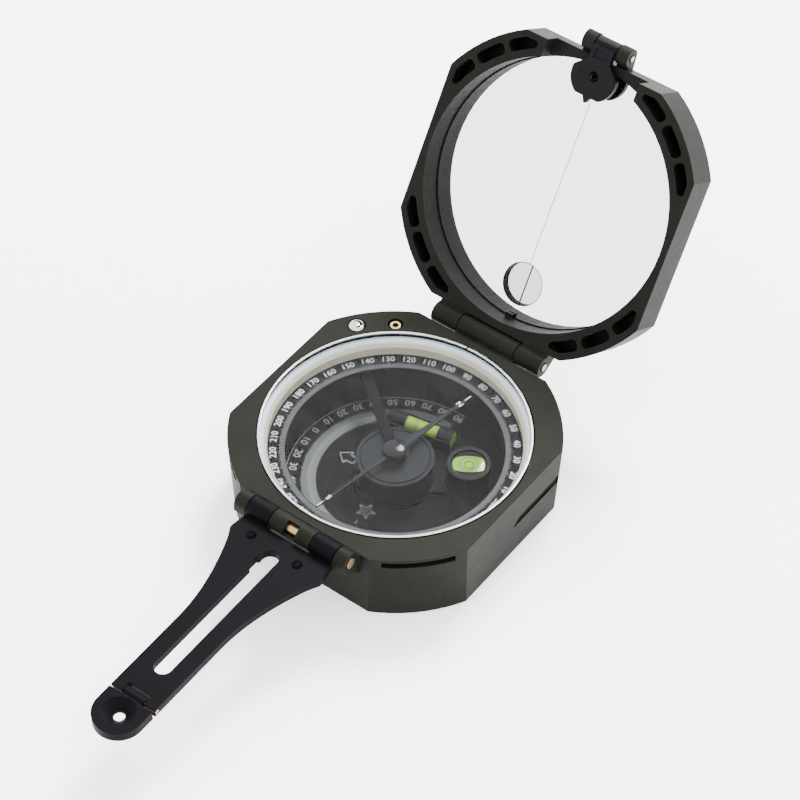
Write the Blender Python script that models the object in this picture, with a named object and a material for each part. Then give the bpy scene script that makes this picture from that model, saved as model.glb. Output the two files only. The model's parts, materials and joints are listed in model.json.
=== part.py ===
"""Sighting compass: case, dial, levels, lid with mirror, sighting arm and two folding sights.

Metres, +Z up. The origin is the middle of the case's flat underside, on the needle's axis. +Y points
from the sighting arm to the lid's hinge, and both hinges run along X. The lid stands open and the
arm is out. Every length is named below; heights inside the case are counted from its top face.
"""

from math import acos, asin, cos, pi, radians, sin

import bmesh
import bpy
from mathutils import Matrix

MM = 0.001
GAP = 0.3 * MM  # clearance between pieces that touch or slide
OVER = 1.0 * MM  # how far a cutter runs past the face that it cuts
SUNK = 0.8 * MM  # how far a boss is rooted in the wall that it grows from
ROUND = 72  # sides of a large circle
INSET = 0.1 * MM  # how far a web stands in from the ends of the barrel that it carries

# Case
CASE_HALF = 35.0 * MM  # from the axis to each straight side, at the top
CASE_BULGE = 4.85 * MM  # how far the four curved sides lie beyond the straight ones
CASE_HEIGHT = 20.1 * MM
CASE_DRAFT = 0.6 * MM  # how much the straight sides lean in
CORNER_DRAFT = 1.0 * MM
BEZEL_RIM = 1.9 * MM  # rim left outside the round opening
LEDGE_DROP = 2.6 * MM  # seat of the reflector ring
LEDGE_WIDTH = 0.4 * MM
CASE_WALL = 1.2 * MM  # at the middle of a straight side, low down
ARC_SLOT_SPAN = radians(25.0)
ARC_SLOT_START = radians(-57.7)
ARC_SLOT_DROP = 1.6 * MM  # slot's middle, below the top face
ARC_SLOT_WIDTH = 1.9 * MM
ARC_SLOT_DEPTH = 1.4 * MM
GRIP_SLOT_DROP = 9.4 * MM
GRIP_SLOT_WIDTH = 2.6 * MM
GRIP_SLOT_LENGTH = 18.6 * MM
GRIP_SLOT_DEPTH = 0.5 * MM
GRIP_SLOT_POINT = 2.4 * MM  # length of its slanting end

# Hinges shared by the case, the lid and the arm
HINGE_RADIUS = 2.65 * MM
HINGE_REACH = 3.35 * MM  # from the case's straight side to the hinge axis
LID_PIN_RADIUS = 1.0 * MM
ARM_PIN_RADIUS = 1.35 * MM
HINGE_HALF = 16.0 * MM
LID_KNUCKLE_SPLIT = 8.4 * MM
ARM_KNUCKLE_INNER = 5.9 * MM
ARM_KNUCKLE_OUTER = 12.6 * MM
HINGE_NOTCH_HALF = 1.75 * MM  # window in the arm hinge that shows its pin
HINGE_NOTCH_FLOOR = 0.4 * MM  # below the axis
LUG_DEPTH = 7.2 * MM
LUG_FRONT = 1.6 * MM
HINGE_WEB = 5.6 * MM  # how far down the wall a knuckle reaches
HINGE_WEB_TOP = 0.1 * MM  # below the axis
BARREL_LEAD = radians(2.0)  # a barrel starts this far below the level of its axis
BARREL_SWEEP = radians(242.0)
LUG_SWEEP = radians(182.0)
PIN_PROUD = 0.25 * MM

# Glass, rings and bowl
RETAINER_WIDTH = 0.65 * MM
RETAINER_HEIGHT = 0.5 * MM
RETAINER_PROUD = 0.3 * MM
RETAINER_SOFT = 0.15 * MM
RETAINER_SPLIT = 0.5 * MM
RETAINER_SPLIT_ANGLE = radians(94.4)
GLASS_THICKNESS = 0.7 * MM
GASKET_WIDTH = 0.35 * MM  # packing round the edge of the glass
REFLECTOR_WALL = 2.2 * MM
REFLECTOR_FLANGE = 0.8 * MM
REFLECTOR_CONE_WIDTH = 1.6 * MM
REFLECTOR_CONE_DEPTH = 1.7 * MM
RING_DROP = 5.9 * MM  # top of the azimuth ring
RING_THICKNESS = 1.2 * MM
RING_BAND = 6.8 * MM  # from the pitch circle to the ring's bore
WELL_SET_BACK = 0.7 * MM  # from the ring's bore to the well's wall
WELL_LIFT = 3.1 * MM  # well's floor, above the case's underside
WELL_WALL = 1.2 * MM
SHELF_THICKNESS = 2.2 * MM
BOWL_FLOOR = 0.7 * MM

# Azimuth ring drive
TOOTH_MODULE = 0.6 * MM
TOOTH_ROOM = 0.4 * MM  # least room left outside the ring's teeth
PINION_TEETH = 8
ADDENDUM = 0.4 * MM
DEDENDUM = 0.62 * MM
TOOTH_TIP_HALF = 0.2 * MM
TOOTH_ROOT_HALF = 0.46 * MM
PINION_ANGLE = radians(126.9)
PINION_SHAFT_RADIUS = 0.9 * MM
PINION_HEAD_RADIUS = 1.35 * MM
PINION_SOCKET_RADIUS = 0.75 * MM
PINION_HEAD_HEIGHT = 2.0 * MM
PINION_HEAD_DROP = 0.35 * MM
PINION_RECESS_RADIUS = 1.9 * MM
PINION_POCKET_GAP = 0.4 * MM
PINION_HOLE_RADIUS = 1.2 * MM

# Needle lift
LIFT_ANGLE = radians(142.1)
LIFT_PIN_EDGE = 3.65 * MM  # in from the curved side
LIFT_PIN_RADIUS = 2.0 * MM
LIFT_PIN_PROUD = 0.6 * MM
LIFT_HEAD_THICKNESS = 1.5 * MM
LIFT_DOME = 0.8 * MM
LIFT_STEM_RADIUS = 0.9 * MM
LIFT_BORE_DEPTH = 5.0 * MM
LIFT_SPRING_WIRE = 0.25 * MM
LIFT_SPRING_TURNS = 4
LEVER_DROP = 8.1 * MM  # top of the lift lever
LEVER_THICKNESS = 0.5 * MM
LEVER_HALF = 1.3 * MM
LEVER_PAST_PIN = 1.0 * MM
CHANNEL_PAST_PIN = 1.7 * MM
CHANNEL_ROOM = 0.5 * MM
FULCRUM_PAST_WELL = 2.6 * MM
FULCRUM_RADIUS = 0.45 * MM
FULCRUM_BOSS = 1.1 * MM
LEVER_EYE = 1.4 * MM  # hole round the pivot post
COLLAR_RADIUS = 2.6 * MM
COLLAR_THICKNESS = 0.5 * MM

# Needle
NEEDLE_ROOM = 0.5 * MM  # from its tips to the ring's bore
NEEDLE_AZIMUTH = radians(80.6)
NEEDLE_THICKNESS = 0.4 * MM
NEEDLE_NORTH_HALF = 0.9 * MM
NEEDLE_SOUTH_HALF = 0.5 * MM
NEEDLE_TIP_HALF = 0.25 * MM
NEEDLE_HUB_RADIUS = 3.3 * MM
CAP_RADIUS = 3.0 * MM
CAP_HEIGHT = 1.1 * MM
CAP_EDGE = 0.25 * MM
POST_RADIUS = 0.8 * MM
POST_POINT = 0.6 * MM
POST_RISE = 0.1 * MM  # point above the needle's underside

# Clinometer
CARRIAGE_THICKNESS = 0.6 * MM
CARRIAGE_RADIUS = 10.0 * MM
DRUM_RADIUS = 9.5 * MM
DRUM_DROP = 8.9 * MM
DRUM_GROOVE_RADIUS = 8.6 * MM
DRUM_GROOVE = 0.35 * MM
DRUM_WALL = 1.0 * MM
SHAFT_RADIUS = 1.5 * MM
TUBE_IN_WELL = 12.3 * MM  # from the well's wall to the tube's axis
TUBE_AZIMUTH = radians(101.0)
TUBE_HALF_LENGTH = 8.6 * MM
TUBE_RADIUS = 1.8 * MM
TUBE_DROP = 13.2 * MM  # the tubular level's axis
HOLDER_HALF_WIDTH = 2.5 * MM
HOLDER_RISE = 0.54 * MM  # above the tube's axis
ROUND_LEVEL_IN_WELL = 9.2 * MM  # from the well's wall to the level's middle
ROUND_LEVEL_AZIMUTH = radians(31.0)
ROUND_LEVEL_RADIUS = 5.4 * MM
ROUND_LEVEL_BORE = 4.3 * MM
ROUND_LEVEL_DROP = 9.1 * MM
ROUND_LEVEL_VIAL_HEIGHT = 2.9 * MM
LEVEL_ARM_HALF = 3.78 * MM
BACK_LEVER_THICKNESS = 0.6 * MM
BACK_LEVER_HUB = 3.6 * MM
BACK_LEVER_HALF = 1.6 * MM
TAB_IN_WELL = 4.9 * MM  # from the well's wall to the tab's middle
TAB_LENGTH = 4.0 * MM
TAB_HALF = 1.8 * MM
TAB_RECESS = 0.25 * MM
TAB_AZIMUTH = radians(90.0)
CLINOMETER_TURN = radians(95.0)
TAB_SLOT_SPARE = radians(2.5)

# Bottom cover
COVER_THICKNESS = 1.2 * MM
SCREW_BOSS_SUNK = 0.4 * MM  # into the well's wall
SCREW_COUNT = 4
SCREW_RADIUS = 0.7 * MM
SCREW_HEAD_RADIUS = 1.5 * MM
SCREW_HEAD = 0.6 * MM
SCREW_LENGTH = 4.5 * MM
SCREW_BOSS_RADIUS = 2.4 * MM
SCREW_SLOT = 0.4 * MM
SCREW_FIRST = radians(45.0)

# Lid
LID_OPEN_ANGLE = radians(121.6)
LID_BULGE = 4.88 * MM
LID_THICKNESS = 9.6 * MM
LID_RIM = 1.7 * MM  # rim left outside the round recess
MIRROR_DEPTH = 7.0 * MM
MIRROR_THICKNESS = 1.0 * MM
WINDOW_EDGE = 8.9 * MM  # window's middle, in from the recess's edge
WINDOW_RADIUS = 5.5 * MM
POCKET_RIM_IN = 1.85 * MM  # wall between the recess and a pocket
POCKET_RIM_OUT = 1.73 * MM  # wall between a pocket and the curved side
POCKET_RIM_FLAT = 1.55 * MM  # wall between a pocket and the straight side
POCKET_DEPTH = 6.0 * MM
POCKET_SPAN = radians(12.3)
POCKET_PITCH = radians(14.35)
POCKET_ROUND = 1.1 * MM
RIM_CUT_HALF = 13.1 * MM
RIM_CUT_DEPTH = 5.3 * MM
RIM_CUT_FROM = 0.8  # its inner end, as a share of the recess's radius
HINGE_STRIP = 0.4 * MM  # ledge that closes the gap beside the case's knuckle
HINGE_SHELF = 2.0 * MM  # and reaches behind it
HINGE_STRIP_HEIGHT = 5.0 * MM
MIRROR_TAB_HALF = 0.9 * MM
MIRROR_TAB_REACH = 1.1 * MM
MIRROR_TAB_HEIGHT = 1.1 * MM

# Front sight
SIGHT_PIN_REACH = 3.0 * MM  # beyond the lid's straight side
SIGHT_PIN_LEVEL = 6.2 * MM  # above the lid's inner face
SIGHT_PIN_RADIUS = 0.75 * MM
EAR_RADIUS = 2.4 * MM
EAR_OUTER = 6.4 * MM
EAR_WEB_RISE = 0.9 * MM
EAR_WEB_DROP = 3.2 * MM
EAR_ROOM = 0.15 * MM  # more than the usual gap, so that the sight swings freely
SIGHT_HALF = 3.0 * MM
SIGHT_BARREL = 2.15 * MM
SIGHT_DISC_REACH = 7.2 * MM
SIGHT_DISC_RADIUS = 6.05 * MM
SIGHT_DISC_TOP = 3.0 * MM
SIGHT_DISC_THICKNESS = 1.7 * MM
SIGHT_DISC_LOW = 1.0 * MM
SIGHT_FLAT = 5.1 * MM
SIGHT_POINT = 6.6 * MM
SIGHT_POINT_HALF = 1.0 * MM
SIGHT_SHOULDER = 3.4 * MM
SIGHT_HOLE_RADIUS = 1.3 * MM
SIGHT_BOSS_REACH = 4.8 * MM
SIGHT_BOSS_RADIUS = 1.05 * MM
SIGHT_BOSS_HEIGHT = 0.2 * MM
SIGHT_POCKET_HALF = 1.9 * MM
SIGHT_POCKET_EDGE = 0.5 * MM
SIGHT_POCKET_DEPTH = 0.4 * MM
SIGHT_WEB_HALF = 1.4 * MM

# Sighting arm
ARM_DROOP = radians(1.5)
ARM_TOP = 0.7 * MM  # below the hinge axis
ARM_THICKNESS = 2.2 * MM
ARM_EAR = 2.5 * MM
ARM_FLARE_END = 6.4 * MM
ARM_SHOULDER_END = 7.6 * MM
ARM_SHOULDER_HALF = 13.1 * MM
ARM_TAPER_START = 10.2 * MM
ARM_TAPER_HALF = 11.7 * MM
ARM_WAIST = 34.0 * MM
ARM_WAIST_HALF = 6.25 * MM
ARM_TAPER_POWER = 1.8
ARM_SLOT_HALF = 2.2 * MM
ARM_SLOT_START = 7.2 * MM
ARM_SLOT_END = 49.4 * MM
ARM_SLOT_STEP = 13.6 * MM
ARM_SLOT_STEP_WIDTH = 0.6 * MM
TIP_PIN_REACH = 56.9 * MM
TIP_PIN_RADIUS = 0.6 * MM
TONGUE_HALF = 2.9 * MM
TONGUE_RADIUS = 1.3 * MM
TONGUE_BACK = 1.35 * MM
TONGUE_TOP = 0.95 * MM
TIP_HALF = 6.15 * MM
NECK_HALF = 1.1 * MM
TIP_SHOULDER = 1.35 * MM
ARM_END = 0.75 * MM  # beyond the tip pin, short enough for the sight to fold
TIP_EYE_REACH = 5.5 * MM
TIP_THICKNESS = 2.6 * MM
TIP_HOLE_RADIUS = 1.35 * MM
TIP_CONE_RADIUS = 4.3 * MM
TIP_CONE_DEPTH = 1.9 * MM
TIP_CONE_POWER = 1.3

# Places worked out from the sizes above
TOP = CASE_HEIGHT
HINGE_Y = CASE_HALF + HINGE_REACH
CASE_CORNER_RADIUS = CASE_HALF + CASE_BULGE
BEZEL_RADIUS = CASE_HALF - BEZEL_RIM
LEDGE_RADIUS = BEZEL_RADIUS - LEDGE_WIDTH
LOWER_BORE_RADIUS = CASE_HALF - CASE_WALL
LID_CORNER_RADIUS = CASE_HALF + LID_BULGE
LID_RECESS_RADIUS = CASE_HALF - LID_RIM
WINDOW_REACH = LID_RECESS_RADIUS - WINDOW_EDGE
POCKET_INNER = LID_RECESS_RADIUS + POCKET_RIM_IN
POCKET_OUTER = LID_CORNER_RADIUS - POCKET_RIM_OUT
POCKET_EDGE = CASE_HALF - POCKET_RIM_FLAT
PIN_ROOM = 0.8 * GAP  # running clearance round a hinge pin
LID_BORE = LID_PIN_RADIUS + PIN_ROOM
ARM_BORE = ARM_PIN_RADIUS + PIN_ROOM
SIGHT_Y = CASE_HALF + SIGHT_PIN_REACH
RETAINER_OUTER = BEZEL_RADIUS - GAP
RETAINER_BOTTOM = RETAINER_PROUD - RETAINER_HEIGHT
GLASS_TOP = RETAINER_BOTTOM - GAP
GLASS_BOTTOM = GLASS_TOP - GLASS_THICKNESS
GASKET_OUTER = BEZEL_RADIUS - GAP
GLASS_RADIUS = GASKET_OUTER - GASKET_WIDTH - GAP
REFLECTOR_TOP = GLASS_BOTTOM - GAP
REFLECTOR_INNER = LEDGE_RADIUS - REFLECTOR_WALL
REFLECTOR_CONE_TOP = REFLECTOR_INNER + REFLECTOR_CONE_WIDTH
REFLECTOR_BOTTOM = GAP - RING_DROP
RING_BOTTOM = -RING_DROP - RING_THICKNESS
SHELF_TOP = RING_BOTTOM - GAP
RING_TEETH = round(2.0 * (LOWER_BORE_RADIUS - ADDENDUM - TOOTH_ROOM) / TOOTH_MODULE)
RING_PITCH_RADIUS = 0.5 * TOOTH_MODULE * RING_TEETH
RING_INNER = RING_PITCH_RADIUS - RING_BAND
WELL_RADIUS = RING_INNER + WELL_SET_BACK
WELL_DEPTH = CASE_HEIGHT - WELL_LIFT
BOWL_RADIUS = LOWER_BORE_RADIUS - GAP
BOWL_BOTTOM = -WELL_DEPTH - BOWL_FLOOR
PINION_PITCH_RADIUS = 0.5 * TOOTH_MODULE * PINION_TEETH
PINION_REACH = RING_PITCH_RADIUS + PINION_PITCH_RADIUS
LIFT_PIN_REACH = CASE_CORNER_RADIUS - LIFT_PIN_EDGE
LEVER_OUTER_END = LIFT_PIN_REACH + LEVER_PAST_PIN
CHANNEL_END = LIFT_PIN_REACH + CHANNEL_PAST_PIN
FULCRUM_REACH = WELL_RADIUS + FULCRUM_PAST_WELL
FULCRUM_LEVEL = -LEVER_DROP - LEVER_THICKNESS
SCREW_REACH = WELL_RADIUS + WELL_WALL + SCREW_BOSS_RADIUS - SCREW_BOSS_SUNK
NEEDLE_REACH = RING_INNER - NEEDLE_ROOM
TUBE_REACH = WELL_RADIUS - TUBE_IN_WELL
ROUND_LEVEL_REACH = WELL_RADIUS - ROUND_LEVEL_IN_WELL
TAB_REACH = WELL_RADIUS - TAB_IN_WELL
CARRIAGE_BOTTOM = GAP - WELL_DEPTH
CARRIAGE_TOP = CARRIAGE_BOTTOM + CARRIAGE_THICKNESS
SEAT = CARRIAGE_TOP + GAP  # underside of what stands on the carriage
BACK_LEVER_TOP = BOWL_BOTTOM - GAP
BACK_LEVER_BOTTOM = BACK_LEVER_TOP - BACK_LEVER_THICKNESS
COLLAR_BOTTOM = GAP - LEVER_DROP
COLLAR_TOP = COLLAR_BOTTOM + COLLAR_THICKNESS
NEEDLE_BOTTOM = COLLAR_TOP + GAP
NEEDLE_TOP = NEEDLE_BOTTOM + NEEDLE_THICKNESS
CAP_BOTTOM = NEEDLE_TOP + GAP
POST_TOP = NEEDLE_BOTTOM + POST_RISE
TIP_LEVEL = -ARM_TOP - 0.5 * ARM_THICKNESS
TIP_BORE = TIP_PIN_RADIUS + PIN_ROOM


# ---------------------------------------------------------------- helpers

def material(name, colour, roughness, metallic=0.0, alpha=1.0):
    made = bpy.data.materials.new(name)
    made.use_nodes = True
    shader = made.node_tree.nodes["Principled BSDF"]
    shader.inputs["Base Color"].default_value = (*colour, 1.0)
    shader.inputs["Roughness"].default_value = roughness
    shader.inputs["Metallic"].default_value = metallic
    shader.inputs["Alpha"].default_value = alpha
    made.diffuse_color = (*colour, alpha)
    return made


def empty(name, place, parent=None, turn_x=0.0):
    """A joint's frame: the pieces of one moving body hang on it."""
    made = bpy.data.objects.new(name, None)
    made.location = place
    made.rotation_euler = (turn_x, 0.0, 0.0)
    made.empty_display_size = 5.0 * MM
    made.parent = parent
    bpy.context.scene.collection.objects.link(made)
    return made


def piece(name, bm, finish, parent, place=(0.0, 0.0, 0.0), turn_z=0.0):
    """An object from a closed bmesh, shaded smooth except at its corners."""
    bmesh.ops.recalc_face_normals(bm, faces=bm.faces)
    mesh = bpy.data.meshes.new(name)
    bm.to_mesh(mesh)
    bm.free()
    if finish:
        mesh.materials.append(finish)
    mesh.shade_smooth()
    mesh.set_sharp_from_angle(angle=radians(32.0))
    made = bpy.data.objects.new(name, mesh)
    made.location = place
    made.rotation_euler = (0.0, 0.0, turn_z)
    made.parent = parent
    bpy.context.scene.collection.objects.link(made)
    return made


def combine(target, operation, shapes):
    """Cuts or joins shapes, given in the target's own frame, with Boolean modifiers."""
    for number, bm in enumerate(shapes):
        name = f"{target.name}_{operation.lower()}_{number + 1}"
        tool = piece(name, bm, None, target.parent, target.location, target.rotation_euler.z)
        tool.hide_render = True
        tool.display_type = "WIRE"
        change = target.modifiers.new(name, "BOOLEAN")
        change.operation = operation
        change.solver = "EXACT"
        change.object = tool


def cut(target, *shapes):
    combine(target, "DIFFERENCE", shapes)


def join(target, *shapes):
    combine(target, "UNION", shapes)


def loft(low_outline, high_outline, low, high):
    """A closed solid between two outlines with the same number of points."""
    bm = bmesh.new()
    under = [bm.verts.new((x, y, low)) for x, y in low_outline]
    over = [bm.verts.new((x, y, high)) for x, y in high_outline]
    bm.faces.new(under)
    bm.faces.new(over)
    for i, corner in enumerate(under):
        j = (i + 1) % len(under)
        bm.faces.new((corner, under[j], over[j], over[i]))
    return bm


def prism(outline, low, high):
    return loft(outline, outline, low, high)


def side_prism(outline, low, high):
    """A solid along X from an outline of (y, z) points."""
    bm = loft(outline, outline, low, high)
    swap = Matrix(((0, 0, 1, 0), (1, 0, 0, 0), (0, 1, 0, 0), (0, 0, 0, 1)))
    bmesh.ops.transform(bm, matrix=swap, verts=bm.verts)
    return bm


def turned(profile, steps=64):
    """A closed outline of (radius, z) points spun round Z."""
    bm = bmesh.new()
    points = [bm.verts.new((r, 0.0, z)) for r, z in profile]
    edges = []
    for i, point in enumerate(points):
        after = points[(i + 1) % len(points)]
        if point.co.x > 0 or after.co.x > 0:
            edges.append(bm.edges.new((point, after)))
    bmesh.ops.spin(bm, geom=points + edges, axis=(0, 0, 1), cent=(0, 0, 0),
                   angle=2 * pi, steps=steps, use_merge=True)
    bmesh.ops.remove_doubles(bm, verts=bm.verts, dist=1e-7)
    return bm


def moved(bm, x=0.0, y=0.0, z=0.0, turn_z=0.0):
    """The same shape turned about Z and then moved."""
    place = Matrix.Translation((x, y, z)) @ Matrix.Rotation(turn_z, 4, "Z")
    bmesh.ops.transform(bm, matrix=place, verts=bm.verts)
    return bm


def box(x, y, z):
    """A block between pairs of limits."""
    return prism([(x[0], y[0]), (x[1], y[0]), (x[1], y[1]), (x[0], y[1])], *z)


def arc(cx, cy, radius, start, end, steps):
    """Points along a circle, ends included."""
    angles = [start + (end - start) * i / steps for i in range(steps + 1)]
    return [(cx + radius * cos(a), cy + radius * sin(a)) for a in angles]


def circle(radius, steps=32, cx=0.0, cy=0.0):
    return arc(cx, cy, radius, 0.0, 2 * pi, steps)[:-1]


def rod(low, high, radius, y=0.0, z=0.0, steps=20):
    """A round bar along X."""
    return side_prism(circle(radius, steps, y, z), low, high)


def clipped_disc(half, radius, steps=9):
    """The case's outline: a disc with four straight sides."""
    first = acos(half / radius)
    quarter = arc(0.0, 0.0, radius, first, pi / 2 - first, steps)
    outline = []
    for k in range(4):
        c, s = cos(k * pi / 2), sin(k * pi / 2)
        outline += [(x * c - y * s, x * s + y * c) for x, y in quarter]
    return outline


def knuckle(wall, axis, radius, over, under, level=0.0, lug=0.0):
    """Outline (y, z) of a hinge barrel and its web, from a wall on one side of the axis.

    over and under are the heights, from the axis level, where the web leaves the wall on the side
    that the barrel stands proud of and on its other side. A negative radius turns it upside down.
    A lug has a flat front that far down from the axis, in place of the barrel's lower half.
    """
    toward = 1.0 if wall > axis else -1.0
    flip = 1.0 if radius > 0 else -1.0
    size = abs(radius)
    outline = [(wall + toward * SUNK, level + flip * under), (wall + toward * SUNK, level + flip * over)]
    steps = 16
    sweep = LUG_SWEEP if lug else BARREL_SWEEP
    for i in range(steps + 1):
        a = sweep * i / steps - BARREL_LEAD
        outline.append((axis + toward * size * cos(a), level + flip * size * sin(a)))
    if lug:
        outline.append((axis - toward * size, level - flip * lug))
    return outline


def gear(teeth, pitch_radius, phase):
    """Outline of a straight-flanked spur gear with a tooth centred at phase."""
    points = []
    root = pitch_radius - DEDENDUM
    tip = pitch_radius + ADDENDUM
    root_half = asin(TOOTH_ROOT_HALF / root)
    tip_half = asin(TOOTH_TIP_HALF / tip)
    for k in range(teeth):
        middle = phase + 2 * pi * k / teeth
        for radius, angle in ((root, -root_half), (tip, -tip_half), (tip, tip_half), (root, root_half)):
            points.append((radius * cos(middle + angle), radius * sin(middle + angle)))
    return points


def spoke(bm, reach, azimuth):
    """The same shape carried out from the middle, its +X end pointing away from the middle."""
    return moved(bm, reach * cos(azimuth), reach * sin(azimuth), 0.0, azimuth)


# ---------------------------------------------------------------- case

def case_knuckles():
    """Webbed barrels that stand on the case's two hinge sides, and the bore that cuts them all."""
    lid_side = knuckle(CASE_HALF, HINGE_Y, HINGE_RADIUS, -HINGE_WEB_TOP, -HINGE_WEB)
    arm_side = knuckle(-CASE_HALF, -HINGE_Y, HINGE_RADIUS, -HINGE_WEB_TOP, -HINGE_WEB)
    lug_side = knuckle(-CASE_HALF, -HINGE_Y, HINGE_RADIUS, -HINGE_WEB_TOP, -LUG_DEPTH, lug=LUG_FRONT)
    split = 0.5 * GAP
    solids = [
        side_prism(lid_side, -LID_KNUCKLE_SPLIT + split, LID_KNUCKLE_SPLIT - split),
        side_prism(arm_side, -ARM_KNUCKLE_INNER + split, ARM_KNUCKLE_INNER - split),
        side_prism(lug_side, -HINGE_HALF, -ARM_KNUCKLE_OUTER - split),
        side_prism(lug_side, ARM_KNUCKLE_OUTER + split, HINGE_HALF),
    ]
    holes = [rod(-HINGE_HALF - OVER, HINGE_HALF + OVER, bore, y)
             for bore, y in ((LID_BORE, HINGE_Y), (ARM_BORE, -HINGE_Y))]
    window = box((-HINGE_NOTCH_HALF, HINGE_NOTCH_HALF), (-HINGE_Y - 2 * HINGE_RADIUS, -HINGE_Y),
                 (-HINGE_NOTCH_FLOOR, 2 * HINGE_RADIUS))
    return solids, holes + [window]


def corner_slot(start, end):
    """A shallow slot that follows one curved side of the case."""
    reach = CASE_CORNER_RADIUS - ARC_SLOT_DEPTH
    outline = arc(0, 0, reach, start, end, 8) + arc(0, 0, CASE_CORNER_RADIUS + OVER, end, start, 8)
    middle = -ARC_SLOT_DROP
    return prism(outline, middle - 0.5 * ARC_SLOT_WIDTH, middle + 0.5 * ARC_SLOT_WIDTH)


def build_case():
    finish = material("case_paint", (0.048, 0.050, 0.040), 0.45)
    bottom = clipped_disc(CASE_HALF - CASE_DRAFT, CASE_CORNER_RADIUS - CORNER_DRAFT)
    top = clipped_disc(CASE_HALF, CASE_CORNER_RADIUS)
    case = piece("body_case", loft(bottom, top, -CASE_HEIGHT, 0.0), finish, None, (0, 0, TOP))
    solids, holes = case_knuckles()
    join(case, *solids)
    shelf = REFLECTOR_BOTTOM
    bore = turned([(0, OVER), (BEZEL_RADIUS, OVER), (BEZEL_RADIUS, -LEDGE_DROP),
                   (LEDGE_RADIUS, -LEDGE_DROP), (LEDGE_RADIUS, shelf), (LOWER_BORE_RADIUS, shelf),
                   (LOWER_BORE_RADIUS, -CASE_HEIGHT - OVER), (0, -CASE_HEIGHT - OVER)], ROUND)
    face = CASE_HALF - CASE_DRAFT * GRIP_SLOT_DROP / CASE_HEIGHT - GRIP_SLOT_DEPTH
    low, high = -GRIP_SLOT_DROP - 0.5 * GRIP_SLOT_WIDTH, -GRIP_SLOT_DROP + 0.5 * GRIP_SLOT_WIDTH
    outline = [(0.0, low), (GRIP_SLOT_LENGTH, low), (GRIP_SLOT_LENGTH, high), (GRIP_SLOT_POINT, high)]
    grip = side_prism(outline, face, CASE_HALF + OVER)
    cut(case, bore, grip, corner_slot(ARC_SLOT_START, ARC_SLOT_START + ARC_SLOT_SPAN),
        corner_slot(-pi - ARC_SLOT_START - ARC_SLOT_SPAN, -pi - ARC_SLOT_START))

    pin_x, pin_y = LIFT_PIN_REACH * cos(LIFT_ANGLE), LIFT_PIN_REACH * sin(LIFT_ANGLE)
    wide = LIFT_PIN_RADIUS + GAP
    narrow = LIFT_STEM_RADIUS + GAP
    lift_bore = turned([(0, OVER), (wide, OVER), (wide, -LIFT_BORE_DEPTH), (narrow, -LIFT_BORE_DEPTH),
                        (narrow, FULCRUM_LEVEL), (0, FULCRUM_LEVEL)], 32)
    gear_x, gear_y = PINION_REACH * cos(PINION_ANGLE), PINION_REACH * sin(PINION_ANGLE)
    pocket = PINION_PITCH_RADIUS + ADDENDUM + PINION_POCKET_GAP
    seat = -PINION_HEAD_DROP - PINION_HEAD_HEIGHT - GAP
    gear_bore = turned([(0, OVER), (PINION_RECESS_RADIUS, OVER), (PINION_RECESS_RADIUS, seat),
                        (PINION_HOLE_RADIUS, seat), (PINION_HOLE_RADIUS, shelf), (pocket, shelf),
                        (pocket, SHELF_TOP), (0, SHELF_TOP)], 32)
    cut(case, moved(lift_bore, pin_x, pin_y), moved(gear_bore, gear_x, gear_y), lever_channel(), *holes)


def lever_channel():
    """Radial space for the lift lever, through the bowl's shelf and into the case."""
    half = LEVER_HALF + CHANNEL_ROOM
    low = FULCRUM_LEVEL - FULCRUM_BOSS - CHANNEL_ROOM
    return moved(box((WELL_RADIUS - OVER, CHANNEL_END), (-half, half), (low, SHELF_TOP + OVER)),
                 turn_z=LIFT_ANGLE)


def build_cover():
    paint = material("cover_paint", (0.045, 0.047, 0.038), 0.5)
    steel = material("screw_steel", (0.55, 0.55, 0.55), 0.3, 1.0)
    under = -CASE_HEIGHT
    over = under + COVER_THICKNESS
    disc = prism(circle(LOWER_BORE_RADIUS - GAP, ROUND), under, over)
    cover = piece("bottom_cover", disc, paint, None, (0, 0, TOP))
    reach = TAB_HALF / TAB_REACH + CLINOMETER_TURN + TAB_SLOT_SPARE
    inner = TAB_REACH - 0.5 * TAB_LENGTH - GAP
    outer = TAB_REACH + 0.5 * TAB_LENGTH + GAP
    path = arc(0, 0, inner, TAB_AZIMUTH - reach, TAB_AZIMUTH + reach, 40)
    path += arc(0, 0, outer, TAB_AZIMUTH + reach, TAB_AZIMUTH - reach, 40)
    cut(cover, prism(path, under - OVER, over + OVER))
    seat = under + SCREW_HEAD + GAP
    head_room = SCREW_HEAD_RADIUS + GAP
    stem_room = SCREW_RADIUS + GAP
    for k in range(SCREW_COUNT):
        azimuth = SCREW_FIRST + 2 * pi * k / SCREW_COUNT
        place = (SCREW_REACH * cos(azimuth), SCREW_REACH * sin(azimuth))
        hole = turned([(0, under - OVER), (head_room, under - OVER), (head_room, seat), (stem_room, seat),
                       (stem_room, over + OVER), (0, over + OVER)], 24)
        cut(cover, moved(hole, *place))
        head = under + SCREW_HEAD
        end = head + SCREW_LENGTH
        screw = turned([(0, under), (SCREW_HEAD_RADIUS, under), (SCREW_HEAD_RADIUS, head),
                        (SCREW_RADIUS, head), (SCREW_RADIUS, end), (0, end)], 24)
        made = piece(f"cover_screw_{k + 1}", moved(screw, *place), steel, None, (0, 0, TOP))
        half = 0.5 * SCREW_SLOT
        slot = box((-2 * SCREW_HEAD_RADIUS, 2 * SCREW_HEAD_RADIUS), (-half, half),
                   (under - OVER, under + 0.5 * SCREW_HEAD))
        cut(made, moved(slot, *place, 0.0, azimuth))


# ---------------------------------------------------------------- glass, rings and bowl

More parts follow.
